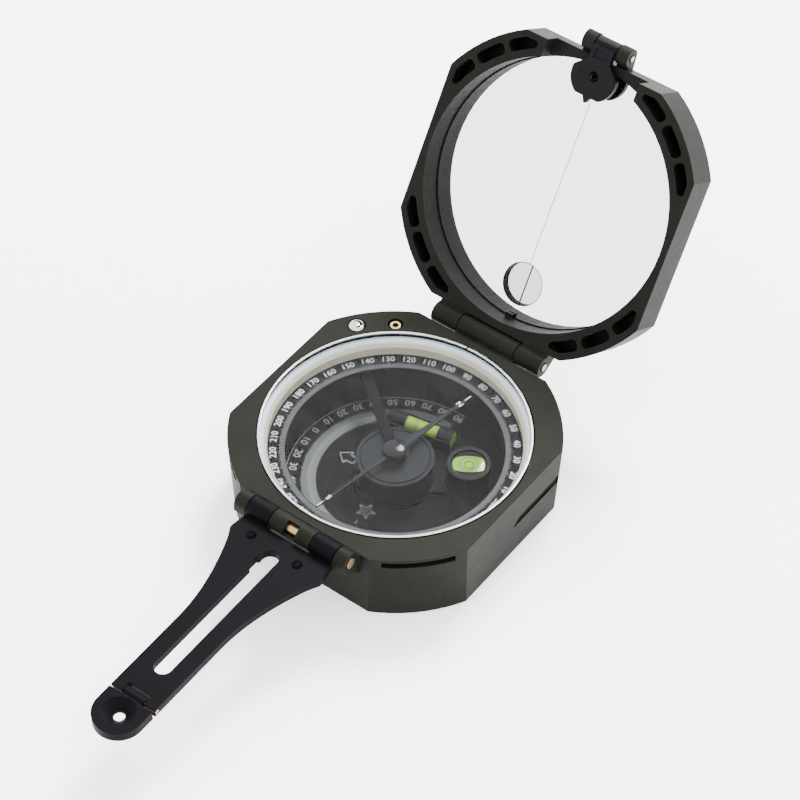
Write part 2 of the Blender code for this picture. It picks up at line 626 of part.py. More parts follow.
def build_glass():
    chrome = material("chrome", (0.80, 0.80, 0.80), 0.12, 1.0)
    glass = material("cover_glass", (0.85, 0.90, 0.90), 0.02, 0.0, 0.15)
    rubber = material("gasket_rubber", (0.02, 0.02, 0.02), 0.7)
    cream = material("reflector_cream", (0.72, 0.74, 0.70), 0.4)
    inner = RETAINER_OUTER - RETAINER_WIDTH
    shoulder = RETAINER_PROUD - RETAINER_SOFT
    section = [(inner, RETAINER_BOTTOM), (RETAINER_OUTER, RETAINER_BOTTOM), (RETAINER_OUTER, shoulder),
               (RETAINER_OUTER - RETAINER_SOFT, RETAINER_PROUD), (inner + RETAINER_SOFT, RETAINER_PROUD),
               (inner, shoulder)]
    ring = piece("retaining_ring", turned(section, ROUND), chrome, None, (0, 0, TOP))
    half = 0.5 * RETAINER_SPLIT
    split = box((inner - OVER, RETAINER_OUTER + OVER), (-half, half), (RETAINER_BOTTOM - OVER, OVER))
    cut(ring, moved(split, turn_z=RETAINER_SPLIT_ANGLE))
    disc = prism(circle(GLASS_RADIUS, ROUND), GLASS_BOTTOM, GLASS_TOP)
    piece("cover_glass", disc, glass, None, (0, 0, TOP))
    gasket = [(GASKET_OUTER - GASKET_WIDTH, GLASS_BOTTOM), (GASKET_OUTER, GLASS_BOTTOM),
              (GASKET_OUTER, GLASS_TOP), (GASKET_OUTER - GASKET_WIDTH, GLASS_TOP)]
    piece("glass_gasket", turned(gasket, ROUND), rubber, None, (0, 0, TOP))
    edge = LEDGE_RADIUS - GAP
    flange = REFLECTOR_TOP - REFLECTOR_FLANGE
    rim = BEZEL_RADIUS - GAP
    section = [(REFLECTOR_CONE_TOP, REFLECTOR_TOP), (rim, REFLECTOR_TOP), (rim, flange), (edge, flange),
               (edge, REFLECTOR_BOTTOM), (REFLECTOR_INNER, REFLECTOR_BOTTOM),
               (REFLECTOR_INNER, REFLECTOR_TOP - REFLECTOR_CONE_DEPTH)]
    piece("reflector_ring", turned(section, ROUND), cream, None, (0, 0, TOP))


def build_bowl():
    finish = material("dial_grey", (0.32, 0.33, 0.31), 0.5)
    steel = material("lever_steel", (0.10, 0.10, 0.10), 0.35, 0.8)
    shelf_bottom = SHELF_TOP - SHELF_THICKNESS
    wall = WELL_RADIUS + WELL_WALL
    hole = SHAFT_RADIUS + GAP
    section = [(WELL_RADIUS, SHELF_TOP), (BOWL_RADIUS, SHELF_TOP), (BOWL_RADIUS, shelf_bottom),
               (wall, shelf_bottom), (wall, BOWL_BOTTOM), (hole, BOWL_BOTTOM), (hole, -WELL_DEPTH),
               (WELL_RADIUS, -WELL_DEPTH)]
    bowl = piece("inner_bowl", turned(section, ROUND), finish, None, (0, 0, TOP))
    seat = -CASE_HEIGHT + COVER_THICKNESS + GAP
    root = SHELF_TOP - 0.5 * SHELF_THICKNESS
    bore_end = -CASE_HEIGHT + SCREW_HEAD + SCREW_LENGTH + OVER
    angles = [SCREW_FIRST + 2 * pi * k / SCREW_COUNT for k in range(SCREW_COUNT)]
    posts = [spoke(prism(circle(SCREW_BOSS_RADIUS, 24), seat, root), SCREW_REACH, a) for a in angles]
    holes = [spoke(prism(circle(SCREW_RADIUS + GAP, 16), seat - OVER, bore_end), SCREW_REACH, a)
             for a in angles]
    join(bowl, *posts)
    axle = 2.0 * (LEVER_HALF + CHANNEL_ROOM)
    bearing = rod(-axle - GAP, axle + GAP, FULCRUM_RADIUS + GAP, FULCRUM_REACH, FULCRUM_LEVEL, 16)
    cut(bowl, lever_channel(), moved(bearing, turn_z=LIFT_ANGLE - pi / 2), *holes)
    axle_pin = rod(-axle, axle, FULCRUM_RADIUS, FULCRUM_REACH, FULCRUM_LEVEL, 16)
    piece("lever_fulcrum_pin", moved(axle_pin, turn_z=LIFT_ANGLE - pi / 2), steel, None, (0, 0, TOP))


def build_azimuth_drive():
    finish = material("ring_black", (0.020, 0.021, 0.023), 0.4)
    brass = material("pinion_brass", (0.72, 0.52, 0.24), 0.3, 1.0)
    ring_frame = empty("azimuth_ring_joint", (0, 0, TOP))
    outline = gear(RING_TEETH, RING_PITCH_RADIUS, PINION_ANGLE)
    ring = piece("azimuth_ring", prism(outline, RING_BOTTOM, -RING_DROP), finish, ring_frame)
    cut(ring, prism(circle(RING_INNER, ROUND), RING_BOTTOM - OVER, OVER - RING_DROP))

    place = (PINION_REACH * cos(PINION_ANGLE), PINION_REACH * sin(PINION_ANGLE), TOP)
    pinion_frame = empty("adjusting_pinion_joint", place)
    head = -PINION_HEAD_DROP
    neck = head - PINION_HEAD_HEIGHT
    outline = gear(PINION_TEETH, PINION_PITCH_RADIUS, PINION_ANGLE + pi + pi / PINION_TEETH)
    pinion = piece("adjusting_pinion", prism(outline, RING_BOTTOM, -RING_DROP), brass, pinion_frame)
    root = -RING_DROP - 0.5 * RING_THICKNESS
    join(pinion, turned([(0, root), (PINION_SHAFT_RADIUS, root), (PINION_SHAFT_RADIUS, neck),
                         (PINION_HEAD_RADIUS, neck), (PINION_HEAD_RADIUS, head),
                         (PINION_SOCKET_RADIUS, head), (PINION_SOCKET_RADIUS, neck), (0, neck)], 24))


# ---------------------------------------------------------------- needle and its lift

def build_lift():
    chrome = material("lift_chrome", (0.80, 0.80, 0.80), 0.15, 1.0)
    steel = material("spring_steel", (0.45, 0.45, 0.45), 0.3, 1.0)
    black = material("lever_black", (0.02, 0.02, 0.022), 0.4, 0.5)
    place = (LIFT_PIN_REACH * cos(LIFT_ANGLE), LIFT_PIN_REACH * sin(LIFT_ANGLE), TOP)
    pin_frame = empty("lift_pin_joint", place)
    head = LIFT_PIN_PROUD - LIFT_HEAD_THICKNESS
    dome = [(LIFT_PIN_RADIUS * sin(a), LIFT_PIN_PROUD - LIFT_DOME * (1 - cos(a)))
            for a in [pi / 2 * i / 6 for i in range(7)]]
    stem = GAP - LEVER_DROP
    dome += [(LIFT_PIN_RADIUS, head), (LIFT_STEM_RADIUS, head), (LIFT_STEM_RADIUS, stem), (0, stem)]
    piece("lift_pin", turned(dome, 32), chrome, pin_frame)
    low = -LIFT_BORE_DEPTH + GAP + LIFT_SPRING_WIRE
    high = head - GAP - LIFT_SPRING_WIRE
    middle = LIFT_STEM_RADIUS + GAP + LIFT_SPRING_WIRE
    coil = helix(middle, LIFT_SPRING_WIRE, low, high, LIFT_SPRING_TURNS)
    piece("lift_pin_spring", coil, steel, pin_frame)

    axle = (FULCRUM_REACH * cos(LIFT_ANGLE), FULCRUM_REACH * sin(LIFT_ANGLE), TOP + FULCRUM_LEVEL)
    lever_frame = empty("lift_lever_joint", axle)
    inner = -FULCRUM_REACH
    blade = [(LEVER_OUTER_END - FULCRUM_REACH, -LEVER_HALF), (LEVER_OUTER_END - FULCRUM_REACH, LEVER_HALF)]
    start = asin(LEVER_HALF / COLLAR_RADIUS)
    blade += arc(inner, 0, COLLAR_RADIUS, start, 2 * pi - start, 20)
    lever = piece("lift_lever", prism(blade, 0.0, LEVER_THICKNESS), black, lever_frame, turn_z=LIFT_ANGLE)
    boss = moved(rod(-LEVER_HALF, LEVER_HALF, FULCRUM_BOSS), turn_z=pi / 2)
    bore = moved(rod(-LEVER_HALF - OVER, LEVER_HALF + OVER, FULCRUM_RADIUS + GAP), turn_z=pi / 2)
    join(lever, boss)
    cut(lever, bore, prism(circle(LEVER_EYE, 24, inner), -OVER, LEVER_THICKNESS + OVER))

    collar_frame = empty("lift_collar_joint", (0, 0, TOP))
    ring = [(POST_RADIUS + GAP, COLLAR_BOTTOM), (COLLAR_RADIUS, COLLAR_BOTTOM),
            (COLLAR_RADIUS, COLLAR_TOP), (POST_RADIUS + GAP, COLLAR_TOP)]
    piece("lift_collar", turned(ring, 32), steel, collar_frame)


def helix(radius, wire, low, high, turns):
    """A round-wire coil about Z with flat ends."""
    bm = bmesh.new()
    per_turn = 14
    sides = 7
    rings = []
    total = turns * per_turn
    for i in range(total + 1):
        a = 2 * pi * i / per_turn
        z = low + (high - low) * i / total
        section = []
        for k in range(sides):
            b = 2 * pi * k / sides
            reach = radius + wire * cos(b)
            section.append(bm.verts.new((reach * cos(a), reach * sin(a), z + wire * sin(b))))
        rings.append(section)
    for before, after in zip(rings, rings[1:]):
        for k in range(sides):
            j = (k + 1) % sides
            bm.faces.new((before[k], before[j], after[j], after[k]))
    bm.faces.new(rings[0])
    bm.faces.new(rings[-1])
    return bm


def build_needle():
    blue = material("needle_blue", (0.015, 0.018, 0.028), 0.3, 0.6)
    glossy = material("cap_black", (0.01, 0.01, 0.012), 0.1)
    frame = empty("needle_joint", (0, 0, 0), bpy.data.objects["lift_collar_joint"])
    hub = NEEDLE_HUB_RADIUS
    north = asin(NEEDLE_NORTH_HALF / hub)
    south = asin(NEEDLE_SOUTH_HALF / hub)
    outline = [(NEEDLE_REACH, -NEEDLE_TIP_HALF), (NEEDLE_REACH, NEEDLE_TIP_HALF)]
    outline += arc(0, 0, hub, north, pi - south, 12)
    outline += [(-NEEDLE_REACH, NEEDLE_TIP_HALF), (-NEEDLE_REACH, -NEEDLE_TIP_HALF)]
    outline += arc(0, 0, hub, pi + south, 2 * pi - north, 12)
    blade = prism(outline, NEEDLE_BOTTOM, NEEDLE_TOP)
    needle = piece("compass_needle", blade, blue, frame, turn_z=NEEDLE_AZIMUTH)
    cut(needle, prism(circle(POST_RADIUS + GAP, 24), NEEDLE_BOTTOM - OVER, NEEDLE_TOP + OVER))
    dome = [(CAP_RADIUS * sin(a), CAP_BOTTOM + CAP_EDGE + (CAP_HEIGHT - CAP_EDGE) * cos(a))
            for a in [pi / 2 * i / 8 for i in range(9)]]
    piece("jewel_cap", turned(dome + [(CAP_RADIUS, CAP_BOTTOM), (0, CAP_BOTTOM)], 40), glossy, frame)


# ---------------------------------------------------------------- slope-measuring assembly

def build_clinometer():
    dark = material("carriage_black", (0.025, 0.026, 0.028), 0.45)
    drum_grey = material("drum_grey", (0.20, 0.21, 0.21), 0.4, 0.3)
    steel = material("post_steel", (0.6, 0.6, 0.6), 0.2, 1.0)
    vial = material("vial_green", (0.45, 0.75, 0.05), 0.1)
    frame = empty("clinometer_joint", (0, 0, TOP))
    disc = prism(circle(CARRIAGE_RADIUS, 48), CARRIAGE_BOTTOM, CARRIAGE_TOP)
    carriage = piece("clinometer_carriage", disc, dark, frame)
    tube_arm = box((0, TUBE_REACH + HOLDER_HALF_WIDTH), (-TUBE_HALF_LENGTH, TUBE_HALF_LENGTH),
                   (CARRIAGE_BOTTOM, CARRIAGE_TOP))
    level_pad = spoke(prism(circle(ROUND_LEVEL_RADIUS, 36), CARRIAGE_BOTTOM, CARRIAGE_TOP),
                      ROUND_LEVEL_REACH, ROUND_LEVEL_AZIMUTH)
    level_arm = box((0, ROUND_LEVEL_REACH), (-LEVEL_ARM_HALF, LEVEL_ARM_HALF),
                    (CARRIAGE_BOTTOM, CARRIAGE_TOP))
    shaft = prism(circle(SHAFT_RADIUS, 24), BACK_LEVER_BOTTOM, CARRIAGE_TOP)
    join(carriage, moved(tube_arm, turn_z=TUBE_AZIMUTH), level_pad,
         moved(level_arm, turn_z=ROUND_LEVEL_AZIMUTH), shaft)

    inner = DRUM_RADIUS - DRUM_WALL
    top = -DRUM_DROP
    groove_in = DRUM_GROOVE_RADIUS - DRUM_GROOVE
    section = [(POST_RADIUS + GAP, top), (groove_in, top), (groove_in, top - DRUM_GROOVE),
               (DRUM_GROOVE_RADIUS, top - DRUM_GROOVE), (DRUM_GROOVE_RADIUS, top), (DRUM_RADIUS, top),
               (DRUM_RADIUS, SEAT), (inner, SEAT), (inner, top - DRUM_WALL),
               (POST_RADIUS + GAP, top - DRUM_WALL)]
    piece("damping_drum", turned(section, 64), drum_grey, frame)
    section = [(0, POST_TOP), (0.2 * POST_RADIUS, POST_TOP), (POST_RADIUS, POST_TOP - POST_POINT),
               (POST_RADIUS, SEAT + GAP), (2 * POST_RADIUS, SEAT + GAP), (2 * POST_RADIUS, SEAT), (0, SEAT)]
    piece("pivot_post", turned(section, 20), steel, frame)

    holder = box((-HOLDER_HALF_WIDTH, HOLDER_HALF_WIDTH), (-TUBE_HALF_LENGTH, TUBE_HALF_LENGTH),
                 (SEAT, -TUBE_DROP + HOLDER_RISE))
    holder = piece("level_tube_holder", spoke(holder, TUBE_REACH, TUBE_AZIMUTH), dark, frame)
    trough = rod(-TUBE_HALF_LENGTH - OVER, TUBE_HALF_LENGTH + OVER, TUBE_RADIUS + GAP, 0, -TUBE_DROP, 28)
    cut(holder, spoke(moved(trough, turn_z=pi / 2), TUBE_REACH, TUBE_AZIMUTH))
    tube = rod(-TUBE_HALF_LENGTH, TUBE_HALF_LENGTH, TUBE_RADIUS, 0, -TUBE_DROP, 28)
    piece("level_tube", spoke(moved(tube, turn_z=pi / 2), TUBE_REACH, TUBE_AZIMUTH), vial, frame)

    rim = -ROUND_LEVEL_DROP
    floor = rim - GAP - ROUND_LEVEL_VIAL_HEIGHT - GAP
    cup = turned([(0, SEAT), (ROUND_LEVEL_RADIUS, SEAT), (ROUND_LEVEL_RADIUS, rim), (ROUND_LEVEL_BORE, rim),
                  (ROUND_LEVEL_BORE, floor), (0, floor)], 40)
    piece("round_level_cup", spoke(cup, ROUND_LEVEL_REACH, ROUND_LEVEL_AZIMUTH), dark, frame)
    bubble = prism(circle(ROUND_LEVEL_BORE - GAP, 40), floor + GAP, rim - GAP)
    piece("round_level_vial", spoke(bubble, ROUND_LEVEL_REACH, ROUND_LEVEL_AZIMUTH), vial, frame)

    hub = prism(circle(BACK_LEVER_HUB, 36), BACK_LEVER_BOTTOM, BACK_LEVER_TOP)
    back = piece("clinometer_lever", hub, steel, frame)
    outer = TAB_REACH + 0.5 * TAB_LENGTH
    blade = box((0, outer), (-BACK_LEVER_HALF, BACK_LEVER_HALF), (BACK_LEVER_BOTTOM, BACK_LEVER_TOP))
    tab = box((TAB_REACH - 0.5 * TAB_LENGTH, outer), (-TAB_HALF, TAB_HALF),
              (-CASE_HEIGHT + TAB_RECESS, BACK_LEVER_TOP))
    join(back, moved(blade, turn_z=TAB_AZIMUTH), moved(tab, turn_z=TAB_AZIMUTH))
    cut(back, prism(circle(SHAFT_RADIUS + GAP, 24), BACK_LEVER_BOTTOM - OVER, BACK_LEVER_TOP + OVER))


# ---------------------------------------------------------------- lid and front sight

def pocket_outline(middle):
    """A rounded slot along the rim, kept inside the straight sides."""
    mean = 0.5 * (POCKET_INNER + POCKET_OUTER)
    half_span = 0.5 * POCKET_SPAN * mean
    half_width = 0.5 * (POCKET_OUTER - POCKET_INNER)
    flat = []
    for sx, sy, start in ((1, 1, 0.0), (-1, 1, pi / 2), (-1, -1, pi), (1, -1, 1.5 * pi)):
        cx, cy = sx * (half_span - POCKET_ROUND), sy * (half_width - POCKET_ROUND)
        flat += arc(cx, cy, POCKET_ROUND, start, start + pi / 2, 4)
        if sy * sx > 0:
            flat += [(cx * (1 - 2 * i / 5), sy * half_width) for i in range(1, 5)]
    outline = []
    for along, across in flat:
        angle = middle + along / mean
        x, y = (mean + across) * cos(angle), (mean + across) * sin(angle)
        x = max(-POCKET_EDGE, min(POCKET_EDGE, x))
        y = max(-POCKET_EDGE, min(POCKET_EDGE, y))
        outline.append((x, y))
    return outline


def build_lid():
    paint = material("lid_paint", (0.050, 0.052, 0.044), 0.4)
    silver = material("mirror_silver", (0.75, 0.77, 0.77), 0.03, 1.0)
    brass = material("hinge_brass", (0.72, 0.50, 0.26), 0.3, 1.0)
    frame = empty("lid_joint", (0, HINGE_Y, TOP), turn_x=-LID_OPEN_ANGLE)
    lid = piece("lid_frame", prism(clipped_disc(CASE_HALF, LID_CORNER_RADIUS), 0.0, LID_THICKNESS), paint,
                frame, (0, -HINGE_Y, 0))
    split = 0.5 * GAP
    barrel = knuckle(CASE_HALF, HINGE_Y, -HINGE_RADIUS, -HINGE_WEB_TOP, -HINGE_WEB)
    ear = knuckle(-CASE_HALF, -SIGHT_Y, -EAR_RADIUS, EAR_WEB_RISE, -EAR_WEB_DROP, SIGHT_PIN_LEVEL)
    ear_inner = SIGHT_HALF + split + EAR_ROOM
    root = CASE_HALF - SUNK
    clear = HINGE_RADIUS + GAP
    ledge = [(root, INSET), (CASE_HALF + HINGE_STRIP, INSET), (CASE_HALF + HINGE_STRIP, clear),
             (CASE_HALF + HINGE_SHELF, clear), (CASE_HALF + HINGE_SHELF, HINGE_STRIP_HEIGHT),
             (root, HINGE_STRIP_HEIGHT)]
    ledge_half = LID_KNUCKLE_SPLIT + split + INSET
    clasp = box((-MIRROR_TAB_HALF, MIRROR_TAB_HALF),
                (LID_RECESS_RADIUS - MIRROR_TAB_REACH, LID_RECESS_RADIUS + SUNK),
                (MIRROR_DEPTH - GAP - MIRROR_TAB_HEIGHT, MIRROR_DEPTH - GAP))
    cut(lid, prism(circle(LID_RECESS_RADIUS, ROUND), -OVER, MIRROR_DEPTH + MIRROR_THICKNESS + GAP),
        box((-RIM_CUT_HALF, RIM_CUT_HALF), (-CASE_HALF - OVER, -RIM_CUT_FROM * LID_RECESS_RADIUS),
            (-OVER, RIM_CUT_DEPTH)),
        prism(circle(WINDOW_RADIUS, 48, 0, WINDOW_REACH), MIRROR_DEPTH, LID_THICKNESS + OVER))
    for quadrant in range(4):
        for step in (-1, 0, 1):
            middle = pi / 4 + quadrant * pi / 2 + step * POCKET_PITCH
            cut(lid, prism(pocket_outline(middle), -OVER, POCKET_DEPTH))
    join(lid, side_prism(barrel, LID_KNUCKLE_SPLIT + split, HINGE_HALF),
         side_prism(barrel, -HINGE_HALF, -LID_KNUCKLE_SPLIT - split),
         side_prism(ear, ear_inner, EAR_OUTER), side_prism(ear, -EAR_OUTER, -ear_inner), clasp,
         side_prism(ledge, -ledge_half, ledge_half))
    cut(lid, rod(-HINGE_HALF - OVER, HINGE_HALF + OVER, LID_BORE, HINGE_Y),
        rod(-EAR_OUTER - OVER, EAR_OUTER + OVER, SIGHT_PIN_RADIUS + PIN_ROOM, -SIGHT_Y, SIGHT_PIN_LEVEL))
    plate = prism(circle(LID_RECESS_RADIUS - GAP, ROUND), MIRROR_DEPTH, MIRROR_DEPTH + MIRROR_THICKNESS)
    piece("mirror", plate, silver, frame, (0, -HINGE_Y, 0))
    reach = EAR_OUTER + PIN_PROUD
    pin = rod(-reach, reach, SIGHT_PIN_RADIUS, -SIGHT_Y, SIGHT_PIN_LEVEL)
    piece("front_sight_pin", pin, brass, frame, (0, -HINGE_Y, 0))
    reach = HINGE_HALF + PIN_PROUD
    piece("lid_hinge_pin", rod(-reach, reach, LID_PIN_RADIUS, HINGE_Y), brass, None, (0, 0, TOP))
    piece("arm_hinge_pin", rod(-reach, reach, ARM_PIN_RADIUS, -HINGE_Y), brass, None, (0, 0, TOP))


def build_front_sight():
    black = material("sight_black", (0.022, 0.023, 0.027), 0.35)
    lid_frame = bpy.data.objects["lid_joint"]
    frame = empty("front_sight_joint", (0, -SIGHT_Y - HINGE_Y, SIGHT_PIN_LEVEL), lid_frame)
    top = -SIGHT_DISC_TOP
    back = top + SIGHT_DISC_THICKNESS
    flat = asin(SIGHT_FLAT / SIGHT_DISC_RADIUS)
    low = asin(SIGHT_DISC_LOW / SIGHT_DISC_RADIUS)
    waist = SIGHT_HALF - INSET
    right = [(waist, -INSET), (waist, SIGHT_SHOULDER)]
    right += arc(0, SIGHT_DISC_REACH, SIGHT_DISC_RADIUS, -low, flat, 12)
    right += [(SIGHT_POINT_HALF, SIGHT_DISC_REACH + SIGHT_FLAT),
              (0.2 * SIGHT_POINT_HALF, SIGHT_DISC_REACH + SIGHT_POINT)]
    outline = right + [(-x, y) for x, y in reversed(right)]
    sight = piece("front_sight", prism(outline, top, back), black, frame)
    web_half = SIGHT_HALF - 2 * INSET
    web = box((-web_half, web_half), (-SIGHT_WEB_HALF, SIGHT_WEB_HALF), (0.5 * (top + back), 0.0))
    bosses = []
    for x in (-SIGHT_BOSS_REACH, SIGHT_BOSS_REACH):
        boss = circle(SIGHT_BOSS_RADIUS, 20, x, SIGHT_DISC_REACH)
        bosses.append(prism(boss, top - SIGHT_BOSS_HEIGHT, top + SUNK))
    join(sight, web, rod(-SIGHT_HALF, SIGHT_HALF, SIGHT_BARREL, steps=28), *bosses)
    cut(sight, rod(-SIGHT_HALF - OVER, SIGHT_HALF + OVER, SIGHT_PIN_RADIUS + PIN_ROOM),
        prism(circle(SIGHT_HOLE_RADIUS, 28, 0, SIGHT_DISC_REACH), top - OVER, back + OVER),
        box((-SIGHT_POCKET_HALF, SIGHT_POCKET_HALF),
            (SIGHT_POCKET_EDGE, SIGHT_SHOULDER - SIGHT_POCKET_EDGE),
            (top - OVER, top + SIGHT_POCKET_DEPTH)))


# ---------------------------------------------------------------- sighting arm

def build_arm():
    black = material("arm_black", (0.022, 0.023, 0.027), 0.33)
    copper = material("sight_pin_copper", (0.62, 0.36, 0.20), 0.3, 1.0)
    frame = empty("arm_joint", (0, -HINGE_Y, TOP), turn_x=ARM_DROOP)
    inner = ARM_KNUCKLE_INNER + 0.5 * GAP
    outer = ARM_KNUCKLE_OUTER - 0.5 * GAP
    root = HINGE_RADIUS + 1.2 * GAP
    curve = []
    for i in range(13):
        t = i / 12
        half = ARM_WAIST_HALF + (ARM_TAPER_HALF - ARM_WAIST_HALF) * (1 - t) ** ARM_TAPER_POWER
        curve.append((half, ARM_TAPER_START + (ARM_WAIST - ARM_TAPER_START) * t))
    notch = TONGUE_HALF + GAP
    end = TIP_PIN_REACH + ARM_END
    side = [(inner + INSET, root), (inner + INSET, 0.0), (outer - INSET, 0.0), (outer, ARM_EAR),
            (ARM_SHOULDER_HALF, ARM_FLARE_END), (ARM_SHOULDER_HALF, ARM_SHOULDER_END)] + curve
    side += [(ARM_WAIST_HALF, end), (notch, end), (notch, TIP_PIN_REACH - TONGUE_BACK - 2 * GAP)]
    outline = [(x, -d) for x, d in side] + [(-x, -d) for x, d in reversed(side)]
    arm = piece("sighting_arm", prism(outline, -ARM_TOP - ARM_THICKNESS, -ARM_TOP), black, frame)
    join(arm, rod(inner, outer, HINGE_RADIUS, steps=32), rod(-outer, -inner, HINGE_RADIUS, steps=32))
    low, high = -ARM_TOP - ARM_THICKNESS - OVER, OVER - ARM_TOP
    slot = arc(0, -ARM_SLOT_START - ARM_SLOT_HALF, ARM_SLOT_HALF, 0, pi, 10)
    slot += arc(0, -ARM_SLOT_END + ARM_SLOT_HALF, ARM_SLOT_HALF, pi, 2 * pi, 10)
    wide = -ARM_SLOT_HALF - ARM_SLOT_STEP_WIDTH
    step = prism([(0, -ARM_SLOT_START - ARM_SLOT_HALF), (wide, -ARM_SLOT_START - 1.7 * ARM_SLOT_HALF),
                  (wide, -ARM_SLOT_STEP), (0, -ARM_SLOT_STEP - ARM_SLOT_HALF)], low, high)
    cut(arm, prism(slot, low, high), step, rod(-outer - OVER, outer + OVER, ARM_BORE),
        rod(-2 * ARM_WAIST_HALF, 2 * ARM_WAIST_HALF, TIP_BORE, -TIP_PIN_REACH, TIP_LEVEL))
    reach = ARM_WAIST_HALF + 0.3 * PIN_PROUD
    piece("tip_sight_pin", rod(-reach, reach, TIP_PIN_RADIUS, -TIP_PIN_REACH, TIP_LEVEL), copper, frame)

    tip_frame = empty("tip_sight_joint", (0, -TIP_PIN_REACH, TIP_LEVEL), frame)
    half = 0.5 * TIP_THICKNESS
    disc = arc(0, -TIP_EYE_REACH, TIP_HALF, -pi, 0.0, 28)
    disc = [(-TIP_HALF, -TIP_SHOULDER)] + disc + [(TIP_HALF, -TIP_SHOULDER)]
    tip = piece("tip_sight", prism(disc, -half, half), black, tip_frame)
    neck = box((INSET - TONGUE_HALF, TONGUE_HALF - INSET), (-TIP_SHOULDER - SUNK, TONGUE_BACK),
               (-NECK_HALF, TONGUE_TOP))
    dish = []
    for i in range(7):
        t = i / 6
        dish.append((TIP_HOLE_RADIUS + (TIP_CONE_RADIUS - TIP_HOLE_RADIUS) * t,
                     half - TIP_CONE_DEPTH * (1 - t) ** TIP_CONE_POWER))
    eye = turned([(0, -half - OVER), (TIP_HOLE_RADIUS, -half - OVER)] + dish[:-1]
                 + [(TIP_CONE_RADIUS + INSET, half + OVER), (0, half + OVER)], 40)
    join(tip, rod(-TONGUE_HALF, TONGUE_HALF, TONGUE_RADIUS, steps=24), neck)
    cut(tip, rod(-TONGUE_HALF - OVER, TONGUE_HALF + OVER, TIP_BORE), moved(eye, 0.0, -TIP_EYE_REACH))


for old in list(bpy.data.objects):
    bpy.data.objects.remove(old, do_unlink=True)

build_case()
build_cover()
build_glass()
build_bowl()
build_azimuth_drive()
build_lift()
build_needle()
build_clinometer()
build_lid()
build_front_sight()
build_arm()
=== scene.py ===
# %% [markdown]
# # Sighting compass
#
# A pocket compass of the geologist's kind, built on a packed mechanical model. The cells follow the
# order of the bench: load the frame, make the finishes, dress the metal, then print the dials, fill
# the levels, fit the mirror, and set up the studio.

# %% Load the frame
import json
from math import cos, pi, radians, sin, sqrt

import bmesh
import bpy
from mathutils import Matrix, Vector


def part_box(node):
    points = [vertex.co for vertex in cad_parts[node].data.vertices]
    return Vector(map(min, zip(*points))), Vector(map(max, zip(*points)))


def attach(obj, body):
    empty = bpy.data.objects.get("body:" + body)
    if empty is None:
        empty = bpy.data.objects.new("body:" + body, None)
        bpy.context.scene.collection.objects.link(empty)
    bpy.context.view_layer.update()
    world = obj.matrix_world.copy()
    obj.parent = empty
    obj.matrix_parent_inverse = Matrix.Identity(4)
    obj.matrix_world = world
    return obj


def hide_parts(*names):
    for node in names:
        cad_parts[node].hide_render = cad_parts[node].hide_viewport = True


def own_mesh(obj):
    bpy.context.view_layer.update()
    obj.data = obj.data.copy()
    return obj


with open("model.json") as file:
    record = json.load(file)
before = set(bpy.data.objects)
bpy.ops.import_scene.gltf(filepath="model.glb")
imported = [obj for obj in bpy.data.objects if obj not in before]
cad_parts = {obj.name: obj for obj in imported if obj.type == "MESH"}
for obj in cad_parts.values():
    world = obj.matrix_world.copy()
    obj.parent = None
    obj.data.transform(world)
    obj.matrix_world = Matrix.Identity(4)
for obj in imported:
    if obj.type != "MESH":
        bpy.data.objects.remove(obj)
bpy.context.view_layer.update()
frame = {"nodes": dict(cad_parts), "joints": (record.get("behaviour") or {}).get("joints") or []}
nodes = frame["nodes"]
joints = {joint["name"]: joint for joint in frame["joints"]}

# %% [markdown]
# ## Where things are
#
# Everything is in metres. The lid's hinge gives the height of the case's top face, and its angle
# gives a frame in which the lid lies shut over the case, so the lid's parts can be drawn flat.

# %% Places
MM = 0.001
TOP = joints["lid_open"]["pos_m"][2]
HINGE_Y = joints["lid_open"]["pos_m"][1]
LID_OPEN = radians(121.6)
ARM_DROOP = radians(1.5)
LID = (Matrix.Translation((0, HINGE_Y, TOP)) @ Matrix.Rotation(-LID_OPEN, 4, "X")
       @ Matrix.Translation((0, -HINGE_Y, 0)))
ARM = Matrix.Translation((0, -HINGE_Y, TOP)) @ Matrix.Rotation(ARM_DROOP, 4, "X")
RING_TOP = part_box("azimuth_ring")[1].z
CUP_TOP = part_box("round_level_cup")[1].z
NEEDLE_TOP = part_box("compass_needle")[1].z
WELL_FLOOR = TOP - 17.0 * MM
print("top face", round(TOP / MM, 2), "ring", round(RING_TOP / MM, 2), "needle", round(NEEDLE_TOP / MM, 2))

# %% [markdown]
# ## Finishes
#
# A small class wraps a shader socket so that sums read like sums. Every finish starts from the same
# recipe: softened edges, a fine bump, and colour and roughness that vary a little.

# %% Shader sums
class Value:
    """A shader socket that takes part in ordinary arithmetic."""

    def __init__(self, tree, socket):
        self.tree, self.socket = tree, socket

    def node(self, kind, inputs=(), output=0, **settings):
        """Adds a node; inputs is a list of (input name or number, value)."""
        made = self.tree.nodes.new("ShaderNode" + kind)
        for key, value in settings.items():
            setattr(made, key, value)
        for key, value in inputs:
            put(made.inputs[key], value)
        return Value(self.tree, made.outputs[output])

    def sum(self, operation, *others, clamp=False):
        values = [(number, value) for number, value in enumerate((self, *others))]
        return self.node("Math", values, operation=operation, use_clamp=clamp)

    def __add__(self, other):
        return self.sum("ADD", other)

    def __sub__(self, other):
        return self.sum("SUBTRACT", other)

    def __mul__(self, other):
        return self.sum("MULTIPLY", other)

    def __pow__(self, other):
        return self.sum("POWER", other)

    def between(self, low, high):
        """0 at low, 1 at high, and smooth between them."""
        return self.node("MapRange", [(0, self), (1, low), (2, high)], interpolation_type="SMOOTHSTEP")


def put(socket, value):
    if isinstance(value, Value):
        socket.id_data.links.new(value.socket, socket)
    elif hasattr(value, "__len__") and len(value) == 3 and len(socket.default_value) == 4:
        socket.default_value = (*value, 1.0)
    else:
        socket.default_value = value


